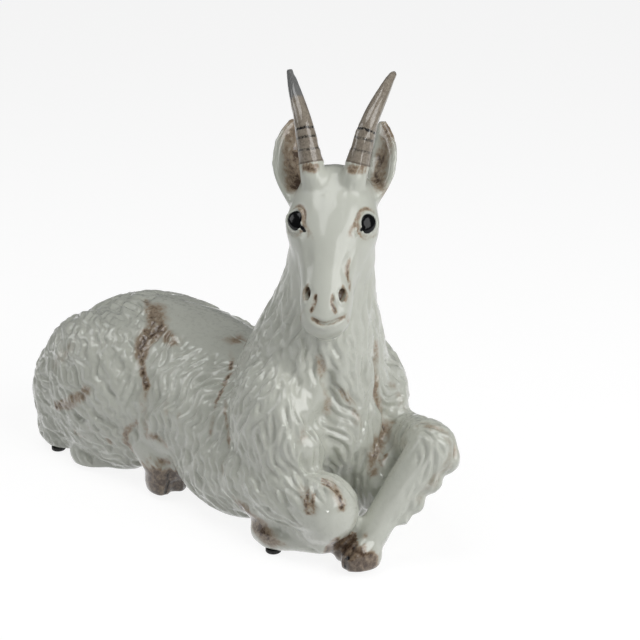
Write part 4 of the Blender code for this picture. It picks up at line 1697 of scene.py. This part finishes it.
@dataclass
class BumperPad:
    """A stick-on rubber foot."""

    node: str

    def build(self, rubber: bpy.types.Material) -> bpy.types.Object:
        """Turn a disc with a rounded lower rim and a crisp stuck face.

        Args:
            rubber: The pad's material.

        Returns:
            The pad.
        """
        low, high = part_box(self.node)
        deselect_all()
        radius = (high.x - low.x) / 2
        bpy.ops.mesh.primitive_cylinder_add(
            vertices=64, radius=radius, depth=high.z - low.z, location=(low + high) / 2
        )
        pad = bpy.context.object
        pad.name = pad.data.name = self.node + "_moulded"
        bpy.ops.object.transform_apply(location=True, rotation=True, scale=True)
        self.round_rim(pad, low.z, 0.0013, 5)
        self.round_rim(pad, high.z, 0.0002, 2)
        bpy.ops.object.shade_smooth_by_angle(angle=math.radians(40))
        pad.data.materials.clear()
        pad.data.materials.append(rubber)
        return pad

    def round_rim(self, pad: bpy.types.Object, level: float, offset: float, segments: int) -> None:
        """Bevel the rim at one height.

        Args:
            pad: The disc.
            level: The rim's height.
            offset: The bevel's width.
            segments: Its steps.
        """
        with editing(pad):
            bpy.ops.mesh.select_all(action="DESELECT")
            bpy.ops.mesh.select_mode(type="EDGE")
        mesh = pad.data
        for edge in mesh.edges:
            edge.select = max(abs(mesh.vertices[v].co.z - level) for v in edge.vertices) < 0.0001
        with editing(pad):
            bpy.ops.mesh.bevel(offset=offset, segments=segments, profile=0.5)


# Studio


@dataclass
class Studio:
    """A pale floor, soft lamps and the camera at the photograph's angle."""

    model: ModelFrame
    azimuth: float = math.radians(40)
    elevation: float = math.radians(20)
    distance: float = 1.2
    focal: float = 84.375
    aim_height: float = 0.17
    floor_glow: float = 1.17
    glow_share: float = 0.75
    sky_colour: tuple[float, float, float, float] = (0.97, 0.99, 1.0, 1)
    sky_light: float = 0.10

    def facing(self, azimuth: float, elevation: float) -> Vector:
        """The direction from the goat to a place round it.

        Args:
            azimuth: Turn from the goat's right side towards its front.
            elevation: Rise above the floor.

        Returns:
            A unit vector.
        """
        level = math.cos(elevation)
        return Vector((math.sin(azimuth) * level, -math.cos(azimuth) * level, math.sin(elevation)))

    def aim(self) -> Vector:
        """What the camera looks at."""
        return self.model.place(0, 0, self.aim_height / MM)

    def camera(self) -> None:
        """Add the camera."""
        data = bpy.data.cameras.new("camera")
        data.sensor_width = 36
        data.lens = self.focal
        camera = bpy.data.objects.new("camera", data)
        away = self.facing(self.azimuth, self.elevation)
        camera.location = self.aim() + away * self.distance
        camera.rotation_euler = (-away).to_track_quat("-Z", "Y").to_euler()
        bpy.context.scene.collection.objects.link(camera)
        bpy.context.scene.camera = camera

    def lamp(self, name: str, azimuth: float, elevation: float, distance: float, size: float, power: float) -> None:
        """Add a soft lamp aimed at the goat.

        Args:
            name: Its name.
            azimuth: Degrees from the goat's right side towards its front.
            elevation: Degrees above the floor.
            distance: Metres from the goat.
            size: Width in metres.
            power: Watts.
        """
        data = bpy.data.lights.new(name, "AREA")
        data.size = size
        data.energy = power
        lamp = bpy.data.objects.new(name, data)
        away = self.facing(math.radians(azimuth), math.radians(elevation))
        lamp.location = self.aim() + away * distance
        lamp.rotation_euler = (-away).to_track_quat("-Z", "Y").to_euler()
        bpy.context.scene.collection.objects.link(lamp)

    def floor(self) -> None:
        """Add the floor, which shows white to the camera and keeps the goat's shadow."""
        deselect_all()
        bpy.ops.mesh.primitive_plane_add(size=12, location=(0, 0, -0.0002))
        floor = bpy.context.object
        floor.name = "studio_floor"
        book = NodeBook("studio_floor")
        shown = book.add("ShaderNodeLightPath", {}, {}, "Is Camera Ray")
        mirrored = book.add("ShaderNodeLightPath", {}, {}, "Is Glossy Ray")
        through = book.add("ShaderNodeLightPath", {}, {}, "Is Transmission Ray")
        seen = shown.most(mirrored).most(through)
        self.glow(book, seen * self.glow_share)
        book.finish({}, {"Base Color": Tone.STUDIO_FLOOR.rgba, "Roughness": 0.9, "Specular IOR Level": 0.1})
        floor.data.materials.append(book.material)

    def glow(self, book: NodeBook, share: Level) -> None:
        """Mix a white glow into a floor material.

        Args:
            book: The material.
            share: How much of the glow is seen.
        """
        light = book.add("ShaderNodeEmission", {}, {"Color": (1, 1, 1, 1), "Strength": self.floor_glow})
        surface = Level(book, book.shader.outputs[0])
        mixed = book.add("ShaderNodeMixShader", {}, {0: share, 1: surface, 2: light})
        book.feed(book.tree.nodes["Material Output"].inputs["Surface"], mixed)

    def world(self) -> None:
        """Soft light from all round, with a white background for the camera."""
        world = bpy.data.worlds.new("studio_world")
        bpy.context.scene.world = world
        world.use_nodes = True
        tree = world.node_tree
        light = tree.nodes["Background"]
        light.inputs["Color"].default_value = self.sky_colour
        light.inputs["Strength"].default_value = self.sky_light
        white = tree.nodes.new("ShaderNodeBackground")
        white.inputs["Strength"].default_value = 1.0
        path = tree.nodes.new("ShaderNodeLightPath")
        mix = tree.nodes.new("ShaderNodeMixShader")
        tree.links.new(path.outputs["Is Camera Ray"], mix.inputs[0])
        tree.links.new(light.outputs[0], mix.inputs[1])
        tree.links.new(white.outputs[0], mix.inputs[2])
        tree.links.new(mix.outputs[0], tree.nodes["World Output"].inputs["Surface"])

    def build(self) -> None:
        """Set up the studio."""
        self.floor()
        self.world()
        self.camera()
        self.lamp("window_right", 90, 34, 1.7, 1.3, 18)
        self.lamp("soft_top", -25, 74, 1.6, 0.9, 7.5)
        self.lamp("fill_left", -60, 26, 1.8, 0.7, 3.4)
        self.lamp("glint", 42, 6, 1.7, 0.14, 0.8)
        bpy.context.scene.view_settings.view_transform = "Standard"


def main() -> None:
    """Build the goat, its pads and the studio."""
    logging.basicConfig(level=logging.INFO, format="%(name)s: %(message)s")
    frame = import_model()
    model = ModelFrame()
    model.settle()

    goat = Casting(model, frame["nodes"]["goat"]).build()
    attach(goat, "root")
    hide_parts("goat")
    log.info("goat: %d faces", len(goat.data.polygons))

    rubber = BumperRubber().material()
    for node in sorted(name for name in frame["nodes"] if name.startswith("pad_")):
        pad = BumperPad(node).build(rubber)
        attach(pad, "root")
        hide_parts(node)
        log.info("%s: %d faces", pad.name, len(pad.data.polygons))

    Studio(model).build()


if __name__ == "__main__":
    main()
